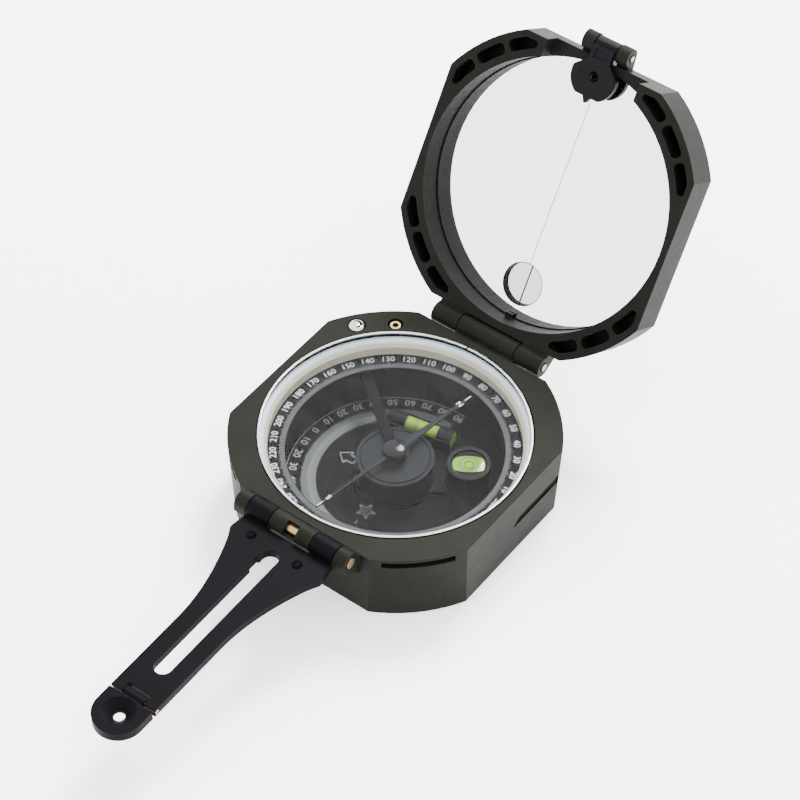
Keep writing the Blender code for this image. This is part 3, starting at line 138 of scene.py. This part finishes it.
def blend(factor, low, high):
    """Colour that goes from low to high with factor."""
    return factor.node("MixRGB", [(0, factor), (1, low), (2, high)])


class Finish:
    """A material, its Principled shader and the object's own coordinates."""

    def __init__(self, name):
        self.material = bpy.data.materials.new(name)
        self.material.use_nodes = True
        self.tree = self.material.node_tree
        self.shader = self.tree.nodes["Principled BSDF"]
        coordinates = self.tree.nodes.new("ShaderNodeTexCoord")
        self.place = Value(self.tree, coordinates.outputs["Object"])

    def set(self, **facts):
        for key, value in facts.items():
            put(self.shader.inputs[key.replace("_", " ")], value)
        return self

    def noise(self, size, detail=2.0, stretch=(1, 1, 1)):
        """Noise whose grains are about size metres across."""
        place = self.place
        if stretch != (1, 1, 1):
            place = self.place.node("Mapping", [("Vector", self.place), ("Scale", stretch)])
        return self.place.node("TexNoise", [("Vector", place), ("Scale", 1.0 / size), ("Detail", detail)])

    def edge(self, radius):
        """Softened normals, and a mask that is 1 along sharp edges."""
        soft = self.place.node("Bevel", [("Radius", radius)], samples=6)
        flat = self.place.node("NewGeometry", output="Normal")
        same = self.place.node("VectorMath", [(0, soft), (1, flat)], "Value", operation="DOT_PRODUCT")
        return soft, same.between(0.995, 0.90)

    def relief(self, height, depth, soft, strength=1.0):
        facts = [("Height", height), ("Distance", depth), ("Strength", strength)]
        if soft is not None:
            facts.append(("Normal", soft))
        self.set(Normal=self.place.node("Bump", facts))
        return self


def coated(name, colour, worn, rough=0.42, grain=0.00030, depth=0.000034, edge=0.00025, metal=0.0, wear=0.5,
           gloss=0.5):
    """Sprayed or moulded skin: fine grain, faint mottling, and lighter edges where it has rubbed."""
    made = Finish(name)
    soft, rim = made.edge(edge)
    fine = made.noise(grain, 3.0)
    broad = made.noise(0.009, 3.0)
    scuffs = made.noise(0.0016, 4.0, (1.0, 0.35, 1.0))
    rubbed = rim * scuffs.between(0.42, 0.68) * wear
    darker = tuple(c * 0.80 for c in colour)
    lighter = tuple(c * 1.22 for c in colour)
    skin = blend(broad.between(0.3, 0.7), darker, lighter)
    skin = blend(fine.between(0.35, 0.70) * 0.6, skin, tuple(c * 1.7 for c in colour))
    made.set(Base_Color=blend(rubbed, skin, worn), Metallic=metal, IOR=1.45,
             Roughness=scuffs * 0.10 + fine * 0.08 + (rough - 0.08))
    made.shader.inputs["Specular IOR Level"].default_value = gloss
    return made.relief(fine, depth, soft, 0.5)


def bare_metal(name, colour, rough, scratch=0.00012, edge=0.00012, tarnish=0.25):
    """Turned or drawn metal with fine scratches and slight tarnish."""
    made = Finish(name)
    soft, rim = made.edge(edge)
    lines = made.noise(scratch, 2.0, (1.0, 6.0, 6.0))
    cloud = made.noise(0.0011, 3.0)
    dull = tuple(c * 0.55 for c in colour)
    made.set(Base_Color=blend(cloud.between(0.45, 0.8) * tarnish, colour, dull), Metallic=1.0,
             Roughness=lines * 0.12 + cloud * 0.08 + rough)
    return made.relief(lines, 0.000004, soft, 0.4)


print("shader helpers ready")

# %% [markdown]
# The case is sprayed dark olive with a fine grain. The lid is the same paint, a little greyer. The
# arm and both sights are black, the front sight's copy a little lighter as painted light, and the dial's
# insides are near-black so that only the print shows.

# %% Paints and metals
olive = coated("olive_paint", (0.0042, 0.0046, 0.0030), (0.03, 0.03, 0.026), rough=0.46, gloss=0.052)
lid_olive = coated("lid_olive_paint", (0.0042, 0.0045, 0.0036), (0.032, 0.032, 0.029), rough=0.45,
                   gloss=0.046)
cover_olive = coated("cover_paint", (0.006, 0.007, 0.0045), (0.03, 0.03, 0.026), rough=0.5, gloss=0.1)
black = coated("black_paint", (0.0011, 0.0011, 0.0017), (0.014, 0.014, 0.016), rough=0.46, grain=0.00022,
               gloss=0.036, wear=0.25)
dial_black = coated("dial_black", (0.0028, 0.0029, 0.0034), (0.01, 0.01, 0.01), rough=0.6, grain=0.0002,
                    depth=0.000006, gloss=0.02, wear=0.0)
# the insides' black paint; it also colours the sheets of painted shade and the painted reflection laid in
# below
inner_black = coated("inner_black", (0.0012, 0.0013, 0.0016), (0.01, 0.01, 0.01), rough=0.42, gloss=0.035)
drum_grey = coated("drum_grey", (0.0040, 0.0042, 0.0050), (0.015, 0.015, 0.015), rough=0.38, gloss=0.05,
                   wear=0.3)
needle_black = coated("needle_black", (0.0016, 0.0018, 0.0028), (0.01, 0.01, 0.013), rough=0.3, edge=0.00008,
                      gloss=0.09)
cap_black = coated("cap_black", (0.002, 0.002, 0.003), (0.01, 0.01, 0.01), rough=0.12, depth=0.000002,
                   gloss=0.18, wear=0.0)
# the front sight's copy of the black paint is lighter: painted light on a sight that sits in shade
sight_black = coated("sight_black", (0.0020, 0.0020, 0.0028), (0.02, 0.02, 0.022), rough=0.42, grain=0.00022,
                     gloss=0.075, wear=0.3)
rubber = coated("rubber", (0.004, 0.004, 0.004), (0.01, 0.01, 0.01), rough=0.75, gloss=0.1)
chrome = bare_metal("chrome", (0.50, 0.50, 0.49), 0.05, tarnish=0.2)
steel = bare_metal("steel", (0.20, 0.20, 0.195), 0.22)
brass = bare_metal("brass", (0.33, 0.215, 0.10), 0.2)
copper = bare_metal("copper", (0.30, 0.15, 0.075), 0.22)

print("finishes", len(bpy.data.materials))

# %% [markdown]
# The reflector ring is pale plastic, coloured by height with painted light: bluish white on its sloping
# face as a painted sky reflection, darker cream on its upright wall as painted shade.

# %% Reflector, glass and liquid
reflector = Finish("reflector_plastic")
height = reflector.place.node("SeparateXYZ", [(0, reflector.place)], "Z")
soft, rim = reflector.edge(0.0002)
# painted light: the sloping face is painted lighter and bluer (sky reflection), the upright wall darker
# (shade)
painted_light_slope = height.between(TOP - 2.7 * MM, TOP - 1.9 * MM)
stain = reflector.noise(0.004, 3.0)
shade = blend(painted_light_slope, (0.27, 0.255, 0.185), (0.46, 0.52, 0.56))
shade = blend(stain.between(0.5, 0.9) * 0.2, shade, (0.22, 0.22, 0.18))
reflector.set(Base_Color=shade, Roughness=stain * 0.1 + 0.28)
reflector.relief(reflector.noise(0.0006), 0.000004, soft, 0.3)


def clear(name, tint, strength=1.0, haze=0.02):
    """Thin clear glass: seen straight through, with the sky's reflection on its face."""
    made = Finish(name)
    tree = made.tree
    through = tree.nodes.new("ShaderNodeBsdfTransparent")
    through.inputs["Color"].default_value = (*tint, 1.0)
    made.set(Base_Color=(1.0, 1.0, 1.0), Metallic=1.0, Roughness=made.noise(0.012, 2.0) * 0.04 + haze)
    glance = made.place.node("Fresnel", [("IOR", 1.5)])
    outside = made.place.node("NewGeometry", output="Backfacing").sum("COMPARE", 0.0, 0.5)
    smear = made.noise(0.015, 4.0, (1.0, 2.5, 1.0)).between(0.35, 0.8)
    mix = tree.nodes.new("ShaderNodeMixShader")
    put(mix.inputs[0], glance * outside * (smear * 0.25 + 0.9) * strength)
    tree.links.new(through.outputs[0], mix.inputs[1])
    tree.links.new(made.shader.outputs[0], mix.inputs[2])
    tree.links.new(mix.outputs[0], tree.nodes["Material Output"].inputs[0])
    return made


glass = clear("cover_glass", (0.97, 0.98, 0.985), 0.30)
pane = clear("window_glass", (0.60, 0.61, 0.63), 0.8)

mirror = Finish("silvered_glass")
dust = mirror.noise(0.0035, 4.0)
mirror.set(Base_Color=blend(dust.between(0.6, 0.9) * 0.12, (0.95, 0.955, 0.96), (0.80, 0.80, 0.80)),
           Metallic=1.0, Roughness=dust * 0.02 + 0.003)

liquid = Finish("level_liquid")
drift = liquid.noise(0.0022, 2.0)
tone = blend(drift.between(0.3, 0.7), (0.085, 0.165, 0.008), (0.13, 0.23, 0.014))
# the faint emission is a painted glow that stands in for light passing through the liquid
liquid.set(Base_Color=tone, Roughness=drift * 0.04 + 0.06, Emission_Color=tone, Emission_Strength=0.10,
           Coat_Weight=drift * 0.05 + 0.12)

liquid.shader.inputs["Specular IOR Level"].default_value = 0.15

print_white = Finish("white_print")
ink = print_white.noise(0.00025, 3.0)
print_white.set(Base_Color=blend(ink.between(0.25, 0.7), (0.30, 0.305, 0.31), (0.42, 0.425, 0.43)),
                Roughness=ink * 0.2 + 0.45)
print_dim = Finish("dim_print")
ink = print_dim.noise(0.00025, 3.0)
print_dim.set(Base_Color=blend(ink.between(0.25, 0.7), (0.12, 0.122, 0.125), (0.18, 0.183, 0.187)),
              Roughness=ink * 0.2 + 0.45)
print_grey = Finish("grey_print")
ink = print_grey.noise(0.00025, 3.0)
print_grey.set(Base_Color=blend(ink.between(0.25, 0.7), (0.016, 0.0165, 0.017), (0.024, 0.0245, 0.025)),
               Roughness=ink * 0.2 + 0.5)
print_black = Finish("black_print")
ink = print_black.noise(0.00025, 3.0)
print_black.set(Base_Color=blend(ink, (0.004, 0.004, 0.004), (0.012, 0.012, 0.012)),
                Roughness=ink * 0.2 + 0.4)
print("reflector, glass, liquid and inks ready")

# %% [markdown]
# ## Dress the metal
#
# The frame's own parts keep their shapes and take these finishes.

# %% Dress the frame's parts
dressing = {
    olive: ["body_case"],
    lid_olive: ["lid_frame"],
    cover_olive: ["bottom_cover"],
    black: ["sighting_arm", "tip_sight"],
    sight_black: ["front_sight"],
    dial_black: ["inner_bowl", "azimuth_ring", "lift_lever"],
    inner_black: ["clinometer_carriage", "level_tube_holder", "round_level_cup"],
    drum_grey: ["damping_drum"],
    needle_black: ["compass_needle"],
    cap_black: ["jewel_cap"],
    rubber: ["glass_gasket"],
    chrome: ["retaining_ring", "lift_pin"],
    steel: ["lift_pin_spring", "lift_collar", "pivot_post", "clinometer_lever", "lever_fulcrum_pin",
            "cover_screw_1", "cover_screw_2", "cover_screw_3", "cover_screw_4"],
    brass: ["arm_hinge_pin", "adjusting_pinion", "front_sight_pin"],
    copper: ["lid_hinge_pin", "tip_sight_pin"],
    reflector: ["reflector_ring"],
    glass: ["cover_glass"],
    mirror: ["mirror"],
    liquid: ["level_tube", "round_level_vial"],
}
for finish, names in dressing.items():
    for name in names:
        nodes[name].material_slots[0].material = finish.material
print("dressed", sum(len(names) for names in dressing.values()), "of", len(nodes))

# %% [markdown]
# ## Piece makers
#
# Flat print is made as thin faces just above the surface that carries it. Figures come from a plain
# built-in typeface, scaled to the height that the scale needs.

# %% Piece makers
def finished(name, bm, finish, body, place=None, smooth=False):
    """A finished piece from a bmesh, riding on one body."""
    if place is not None:
        bmesh.ops.transform(bm, matrix=place, verts=bm.verts)
    mesh = bpy.data.meshes.new(name)
    bm.to_mesh(mesh)
    bm.free()
    mesh.materials.append(finish.material)
    if smooth:
        mesh.shade_smooth()
        mesh.set_sharp_from_angle(angle=radians(35))
    made = bpy.data.objects.new(name, mesh)
    bpy.context.scene.collection.objects.link(made)
    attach(made, body)
    return made


def stroke(bm, start, end, width, z):
    """A straight printed line as one thin face."""
    along = (Vector(end) - Vector(start)).normalized() * 0.5 * width
    across = Vector((-along.y, along.x))
    corners = [Vector(start) - across, Vector(end) - across, Vector(end) + across, Vector(start) + across]
    bm.faces.new([bm.verts.new((c.x, c.y, z)) for c in corners])


def polar(reach, angle):
    return Vector((reach * cos(angle), reach * sin(angle)))


def band(bm, inner, outer, start, end, z, steps):
    """A printed arc of even width."""
    rows = []
    for i in range(steps + 1):
        a = start + (end - start) * i / steps
        rows.append([bm.verts.new((*polar(r, a), z)) for r in (inner, outer)])
    for (a, b), (c, d) in zip(rows, rows[1:]):
        bm.faces.new((a, b, d, c))


def figure(bm, text, height, centre, turn, z, weight=0.0):
    """Text, its middle at centre, height metres tall and turned about Z."""
    curve = bpy.data.curves.new("figure", "FONT")
    curve.body = text
    curve.resolution_u = 3
    curve.offset = weight
    shown = bpy.data.objects.new("figure", curve)
    bpy.context.scene.collection.objects.link(shown)
    bpy.context.view_layer.update()
    shape = bpy.data.meshes.new_from_object(shown.evaluated_get(bpy.context.evaluated_depsgraph_get()))
    xs = [v.co.x for v in shape.vertices]
    ys = [v.co.y for v in shape.vertices]
    scale = height / (max(ys) - min(ys))
    middle = Vector((-(max(xs) + min(xs)) / 2, -(max(ys) + min(ys)) / 2, 0))
    shape.transform(Matrix.Translation((*centre, z)) @ Matrix.Rotation(turn, 4, "Z") @ Matrix.Scale(scale, 4)
                    @ Matrix.Translation(middle))
    bm.from_mesh(shape)
    bpy.data.objects.remove(shown)
    bpy.data.curves.remove(curve)
    bpy.data.meshes.remove(shape)


def lathe(profile, steps=64, centre=(0, 0, 0)):
    """(radius, z) points spun round an upright axis through centre."""
    bm = bmesh.new()
    points = [bm.verts.new((r, 0, z)) for r, z in profile]
    edges = [bm.edges.new(pair) for pair in zip(points, points[1:])]
    bmesh.ops.spin(bm, geom=points + edges, axis=(0, 0, 1), cent=(0, 0, 0), angle=2 * pi, steps=steps,
                   use_merge=True)
    bmesh.ops.remove_doubles(bm, verts=bm.verts, dist=1e-7)
    bmesh.ops.recalc_face_normals(bm, faces=bm.faces)
    bmesh.ops.translate(bm, verts=bm.verts, vec=centre)
    return bm


def closed(profile):
    return profile + profile[:1]


def hoop(inner, outer, low, high, steps, centre=(0, 0, 0)):
    """A ring of rectangular section, from low to high."""
    return lathe(closed([(inner, low), (outer, low), (outer, high), (inner, high)]), steps, centre)


print("piece makers ready")

# %% [markdown]
# ## The numbered ring
#
# Whole degrees from 0 to 360, with longer marks every five and ten, and a figure every ten. The
# figures read from the middle of the dial and climb anticlockwise, as on a compass that is sighted.

# %% Azimuth ring print
lift = 0.03 * MM
MARK_START, MARK_END, FIVE_END, TEN_END = 26.35 * MM, 27.6 * MM, 27.95 * MM, 28.15 * MM
marks = bmesh.new()
for degree in range(360):
    outer = TEN_END if degree % 10 == 0 else FIVE_END if degree % 5 == 0 else MARK_END
    a = radians(degree)
    stroke(marks, polar(MARK_START, a), polar(outer, a), 0.10 * MM, RING_TOP + lift)
finished("ring_degree_marks", marks, print_dim, "azimuth_ring")
figures = bmesh.new()
for degree in range(10, 370, 10):
    a = radians(degree)
    figure(figures, str(degree), 1.65 * MM, polar(29.2 * MM, a), a - pi / 2, RING_TOP + lift, 0.004)
ring_figures = finished("ring_figures", figures, print_white, "azimuth_ring")
print("ring figures", len(ring_figures.data.polygons), "faces")

# %% [markdown]
# ## The slope scale
#
# Printed on the well's floor: degree marks from 90 through 0 to 90, and inside them a grey band with a
# finer half-degree scale. A plain arrow and a star are there for decoration.

# %% Slope scale print
ZERO = radians(178.2)
floor = WELL_FLOOR + lift
SLOPE_START, SLOPE_END, SLOPE_TEN_END = 21.35 * MM, 22.7 * MM, 23.1 * MM
FINE_FIVE, FINE_ONE, FINE_HALF, FINE_END = 19.3 * MM, 20.0 * MM, 20.5 * MM, 21.2 * MM
marks = bmesh.new()
for degree in range(-90, 91):
    a = ZERO + radians(degree)
    outer = SLOPE_TEN_END if degree % 10 == 0 else SLOPE_END
    stroke(marks, polar(SLOPE_START, a), polar(outer, a), 0.12 * MM, floor)
for half in range(-180, 181):
    a = ZERO + radians(half / 2)
    inner = FINE_FIVE if half % 10 == 0 else FINE_ONE if half % 2 == 0 else FINE_HALF
    stroke(marks, polar(inner, a), polar(FINE_END, a), 0.045 * MM, floor + lift)
band(marks, 26.45 * MM, 26.6 * MM, ZERO - radians(92), ZERO + radians(92), floor, 90)
for degree in range(-90, 91, 10):
    a = ZERO + radians(degree)
    figure(marks, str(abs(degree)), 1.95 * MM, polar(24.9 * MM, a), a + pi / 2, floor, 0.008)
finished("slope_scale", marks, print_dim, "case")
grey = bmesh.new()
band(grey, 19.1 * MM, 21.3 * MM, ZERO - radians(90), ZERO + radians(90), floor, 90)
finished("slope_scale_band", grey, print_grey, "case")

SIGN_LINE = 0.16 * MM
STAR_ANGLE = radians(273)
STAR_TIP, STAR_NOTCH = 2.5 * MM, 1.05 * MM
signs = bmesh.new()
star = polar(12.4 * MM, STAR_ANGLE)
points = [star + polar(STAR_TIP if k % 2 == 0 else STAR_NOTCH, radians(90 + 36 * k)) for k in range(10)]
for a, b in zip(points, points[1:] + points[:1]):
    stroke(signs, a, b, SIGN_LINE, floor)
for point in points[0::2]:
    stroke(signs, star, star + (point - star) * 0.94, 0.08 * MM, floor)
stroke(signs, polar(15.8 * MM, STAR_ANGLE), polar(17.2 * MM, STAR_ANGLE), SIGN_LINE, floor)
arrow = polar(13.4 * MM, radians(186))
outline = [(-2.3, 0), (0.3, 2.1), (0.3, 1.0), (2.3, 1.0), (2.3, -1.0), (0.3, -1.0), (0.3, -2.1)]
outline = [arrow + Vector(p) * MM for p in outline]
for a, b in zip(outline, outline[1:] + outline[:1]):
    stroke(signs, a, b, SIGN_LINE, floor)
finished("dial_signs", signs, print_dim, "case")
print("slope scale printed")

# %% [markdown]
# ## Needle marks
#
# A white dash and a letter near each end of the needle.

# %% Needle print
NEEDLE_TURN = radians(80.6)
needle = bmesh.new()
for side, letter in ((0, "N"), (pi, "S")):
    a = NEEDLE_TURN + side
    stroke(needle, polar(23.4 * MM, a), polar(25.4 * MM, a), 0.30 * MM, NEEDLE_TOP + lift)
    figure(needle, letter, 1.5 * MM, polar(21.6 * MM, a), a - pi / 2, NEEDLE_TOP + lift, 0.02)
finished("needle_marks", needle, print_white, "needle")
print("needle marked")

# %% [markdown]
# ## Levels
#
# The round level is a lime-green liquid under a low glass dome, with a black target ring and a
# bubble. The tubular level shows between two metal sleeves.

# %% Round level
eye = polar(17.7 * MM, radians(31))
eye = Vector((eye.x, eye.y, 0))
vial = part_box("round_level_vial")
level_top = vial[1].z
VIAL_RADIUS, DOME_DROP, DOME_RISE = 4.0 * MM, 0.25 * MM, 0.22 * MM
dome = [(VIAL_RADIUS * sin(a), level_top - DOME_DROP + DOME_RISE * cos(a))
        for a in [pi / 2 * i / 8 for i in range(9)]]
dome += [(VIAL_RADIUS, vial[0].z), (0, vial[0].z)]
liquid_body = finished("round_level_liquid", lathe(dome, 48, eye), liquid, "clinometer",
                       smooth=True)
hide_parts("round_level_vial")
z = level_top + 0.02 * MM
under = z - 0.1 * MM
ring = hoop(1.95 * MM, 2.2 * MM, under, z, 48, eye)
finished("round_level_target", ring, print_black, "clinometer")
ring = hoop(1.05 * MM, 1.22 * MM, under, z, 40, eye + Vector((0.25 * MM, -0.2 * MM, 0)))
finished("round_level_bubble", ring, inner_black, "clinometer")
# two dark crescents of painted shadow, where the cup's wall shades the liquid, leave the liquid showing as a
# lens
shade = bmesh.new()
LENS = radians(126)
for turn in (LENS, LENS + pi):
    rows = []
    for i in range(25):
        across = radians(-62 + 124 * i / 24)
        outer = polar(3.97 * MM, turn + across)
        straight = 3.97 * MM * sin(across)
        bulge = 2.55 * MM - 0.72 * MM * (across / radians(62)) ** 2
        inner = Vector((bulge * cos(turn) - straight * sin(turn), bulge * sin(turn) + straight * cos(turn)))
        rows.append([shade.verts.new((eye.x + p.x, eye.y + p.y, z - 0.015 * MM)) for p in (inner, outer)])
    for (a, b), (c, d) in zip(rows, rows[1:]):
        shade.faces.new((a, b, d, c))
bmesh.ops.recalc_face_normals(shade, faces=shade.faces)
if sum(face.normal.z for face in shade.faces) < 0:
    bmesh.ops.reverse_faces(shade, faces=shade.faces)
finished("round_level_shade", shade, inner_black, "clinometer")
rim = closed([(4.35 * MM, CUP_TOP + 0.02 * MM), (5.1 * MM, CUP_TOP + 0.02 * MM),
              (5.25 * MM, CUP_TOP - 0.15 * MM), (4.35 * MM, CUP_TOP - 0.15 * MM)])
finished("round_level_rim", lathe(rim, 56, eye), drum_grey, "clinometer", smooth=True)

# %% Tubular level
TUBE = (Matrix.Rotation(radians(101), 4, "Z") @ Matrix.Translation((14.6 * MM, 0, TOP - 13.2 * MM))
        @ Matrix.Rotation(pi / 2, 4, "X"))
for name, low, high in (("left", -3.7, -8.6), ("right", 4.7, 8.6)):
    low, high = sorted((low, high))
    sleeve = hoop(1.84 * MM, 1.98 * MM, low * MM, high * MM, 32)
    finished(f"level_sleeve_{name}", sleeve, drum_grey, "clinometer", TUBE, True)
for name, along in (("left", -0.9), ("right", 1.9)):
    line = hoop(1.81 * MM, 1.86 * MM, (along - 0.09) * MM, (along + 0.09) * MM, 32)
    finished(f"level_line_{name}", line, print_black, "clinometer", TUBE)
print("levels filled")

# %% [markdown]
# ## Mirror
#
# A silvered disc with a round clear window low down. A fine white line runs down its middle, and a
# black one crosses the window.

# %% Mirror and sight line
MIRROR_FACE = 7.0 * MM
PANE = 9.2 * MM
WINDOW = Vector((0, 24.4 * MM, 0))
MIRROR_RADIUS, MIRROR_HOLE, MIRROR_THICK = 33.0 * MM, 5.5 * MM, 1.0 * MM


def ring_plate(bm, outer, hole, hole_centre, low, high, steps):
    """A disc with an off-centre round hole, bridged into one closed plate."""
    loops = []
    for z in (low, high):
        for radius, centre in ((outer, Vector((0, 0, 0))), (hole, hole_centre)):
            ring = bmesh.ops.create_circle(bm, cap_ends=False, segments=steps, radius=radius,
                                           matrix=Matrix.Translation((centre.x, centre.y, z)))["verts"]
            loops.append([e for e in {e for v in ring for e in v.link_edges}])
    under_outer, under_hole, over_outer, over_hole = loops
    for pair in ((under_outer, under_hole), (over_outer, over_hole), (under_outer, over_outer),
                 (under_hole, over_hole)):
        bmesh.ops.bridge_loops(bm, edges=pair[0] + pair[1])
    bmesh.ops.recalc_face_normals(bm, faces=bm.faces)


plate = bmesh.new()
ring_plate(plate, MIRROR_RADIUS, MIRROR_HOLE, WINDOW, MIRROR_FACE, MIRROR_FACE + MIRROR_THICK, 96)
silvered = finished("mirror_plate", plate, mirror, "lid", LID)
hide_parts("mirror")
clear_disc = lathe([(0, PANE), (5.25 * MM, PANE), (5.25 * MM, 9.5 * MM), (0, 9.5 * MM)], 56, WINDOW)
finished("mirror_window", clear_disc, pane, "lid", LID)
line = bmesh.new()
stroke(line, (0, -24.1 * MM), (0, 18.9 * MM), 0.16 * MM, 0)
bmesh.ops.reverse_faces(line, faces=line.faces)
finished("mirror_sight_line", line, print_grey, "lid",
         LID @ Matrix.Translation((0, 0, MIRROR_FACE - lift)))
line = bmesh.new()
stroke(line, (0, 19.2 * MM), (0, 29.6 * MM), 0.42 * MM, 0)
bmesh.ops.reverse_faces(line, faces=line.faces)
finished("window_sight_line", line, print_black, "lid",
         LID @ Matrix.Translation((0, 0, PANE - lift)))
sleeve = hoop(5.28 * MM, 5.47 * MM, MIRROR_FACE + 0.02 * MM, 9.55 * MM, 56, WINDOW)
finished("window_sleeve", sleeve, inner_black, "lid", LID, True)
print("mirror fitted")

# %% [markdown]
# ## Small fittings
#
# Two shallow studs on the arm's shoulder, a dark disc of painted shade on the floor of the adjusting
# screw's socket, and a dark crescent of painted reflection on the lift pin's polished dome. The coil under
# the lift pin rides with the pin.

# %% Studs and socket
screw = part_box("adjusting_pinion")
middle = [(low + high) / 2 for low, high in zip(*screw)]
near = screw[1].z - 0.55 * MM
far = screw[1].z - 0.85 * MM
# a dark disc on the socket's floor is painted shade
socket = lathe([(0, near), (0.70 * MM, near), (0.70 * MM, far), (0, far)], 24, (middle[0], middle[1], 0))
finished("pinion_socket_floor", socket, inner_black, "adjusting_pinion")
for name, x, along in (("left", -7.7, -6.6), ("right", 6.2, -7.2)):
    stud = lathe([(0, 0.012 * MM), (1.2 * MM, 0.012 * MM), (1.3 * MM, 0.0), (0, 0.0)], 32,
                 (x * MM, along * MM, -0.7 * MM))
    finished(f"arm_stud_{name}", stud, black, "arm", ARM, True)
# a dark crescent laid on the chrome dome is a painted reflection
shade = bmesh.new()
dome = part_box("lift_pin")
middle = [(low + high) / 2 for low, high in zip(*dome)]
REFLECTION_REACH, DOME_HEIGHT, DOME_RADIUS = 1.15, 0.8, 2.0  # millimetres, like width and drop below
rows = []
for i in range(31):
    a = radians(-70 + 250 * i / 30)
    width = 0.5 * sin(pi * i / 30) ** 0.5
    row = []
    for reach in (REFLECTION_REACH - width, REFLECTION_REACH + 0.35 * width):
        drop = DOME_HEIGHT * (1 - sqrt(1 - (reach / DOME_RADIUS) ** 2))
        at = polar(reach * MM, a)
        row.append(shade.verts.new((middle[0] + at.x, middle[1] + at.y, dome[1].z - (drop - 0.02) * MM)))
    rows.append(row)
for (a, b), (c, d) in zip(rows[1:-1], rows[2:-1]):
    shade.faces.new((a, b, d, c))
finished("lift_pin_shade", shade, inner_black, "lift_pin")

coil = bmesh.new()
coil.from_mesh(nodes["lift_pin_spring"].data)
bmesh.ops.transform(coil, matrix=nodes["lift_pin_spring"].matrix_world, verts=coil.verts)
spring = finished("lift_spring_coil", coil, steel, "lift_pin", smooth=True)
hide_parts("lift_pin_spring")
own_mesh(spring)
print("fittings made")

# %% [markdown]
# ## The studio
#
# A pale floor, an even white surround and one large soft lamp above and behind the lid.

# %% Floor, light and camera
floor_mesh = bmesh.new()
bmesh.ops.create_grid(floor_mesh, x_segments=1, y_segments=1, size=2.5)
ground = bpy.data.meshes.new("floor")
floor_mesh.to_mesh(ground)
floor_mesh.free()
paper = Finish("floor_paper")
fibre = paper.noise(0.002, 2.0)
paper.set(Base_Color=blend(fibre, (0.90, 0.90, 0.90), (0.92, 0.92, 0.92)), Roughness=fibre * 0.1 + 0.8,
          Emission_Color=blend(fibre, (0.98, 0.98, 0.98), (1.0, 1.0, 1.0)), Emission_Strength=0.7)
ground.materials.append(paper.material)
floor_piece = bpy.data.objects.new("floor", ground)
floor_piece.location.z = -0.0002
bpy.context.scene.collection.objects.link(floor_piece)

world = bpy.data.worlds.new("studio")
world.use_nodes = True
world.node_tree.nodes["Background"].inputs["Color"].default_value = (1.0, 1.0, 1.0, 1.0)
world.node_tree.nodes["Background"].inputs["Strength"].default_value = 3.9
bpy.context.scene.world = world


def lamp(name, place, target, size, power):
    light = bpy.data.lights.new(name, "AREA")
    light.size = size
    light.energy = power
    made = bpy.data.objects.new(name, light)
    made.location = place
    made.rotation_euler = (Vector(target) - Vector(place)).to_track_quat("-Z", "Y").to_euler()
    bpy.context.scene.collection.objects.link(made)


lamp("key_lamp", (-0.10, 0.62, 0.80), (0, 0, 0.02), 0.35, 32.0)

AZIMUTH, ELEVATION, ROLL = radians(36.372), radians(47.526), radians(0.687)
FOCAL_LENGTH = 131.624
SHIFT_RIGHT, SHIFT_UP, DISTANCE = 1.102, 7.485, 692.86  # millimetres
back = Vector((sin(AZIMUTH) * cos(ELEVATION), -cos(AZIMUTH) * cos(ELEVATION), sin(ELEVATION)))
side = Vector((cos(AZIMUTH), sin(AZIMUTH), 0))
upward = back.cross(side)
right = cos(ROLL) * side + sin(ROLL) * upward
above = -sin(ROLL) * side + cos(ROLL) * upward
camera = bpy.data.cameras.new("camera")
camera.sensor_width = 36
camera.lens = FOCAL_LENGTH
camera.clip_start = 0.05
seen_from = bpy.data.objects.new("camera", camera)
axes = Matrix((right, above, back)).transposed().to_4x4()
place = (right * SHIFT_RIGHT + above * SHIFT_UP + back * DISTANCE) * MM + Vector((0, 0, TOP))
seen_from.matrix_world = Matrix.Translation(place) @ axes
bpy.context.scene.collection.objects.link(seen_from)
bpy.context.scene.camera = seen_from
print("camera at", [round(c, 3) for c in place])
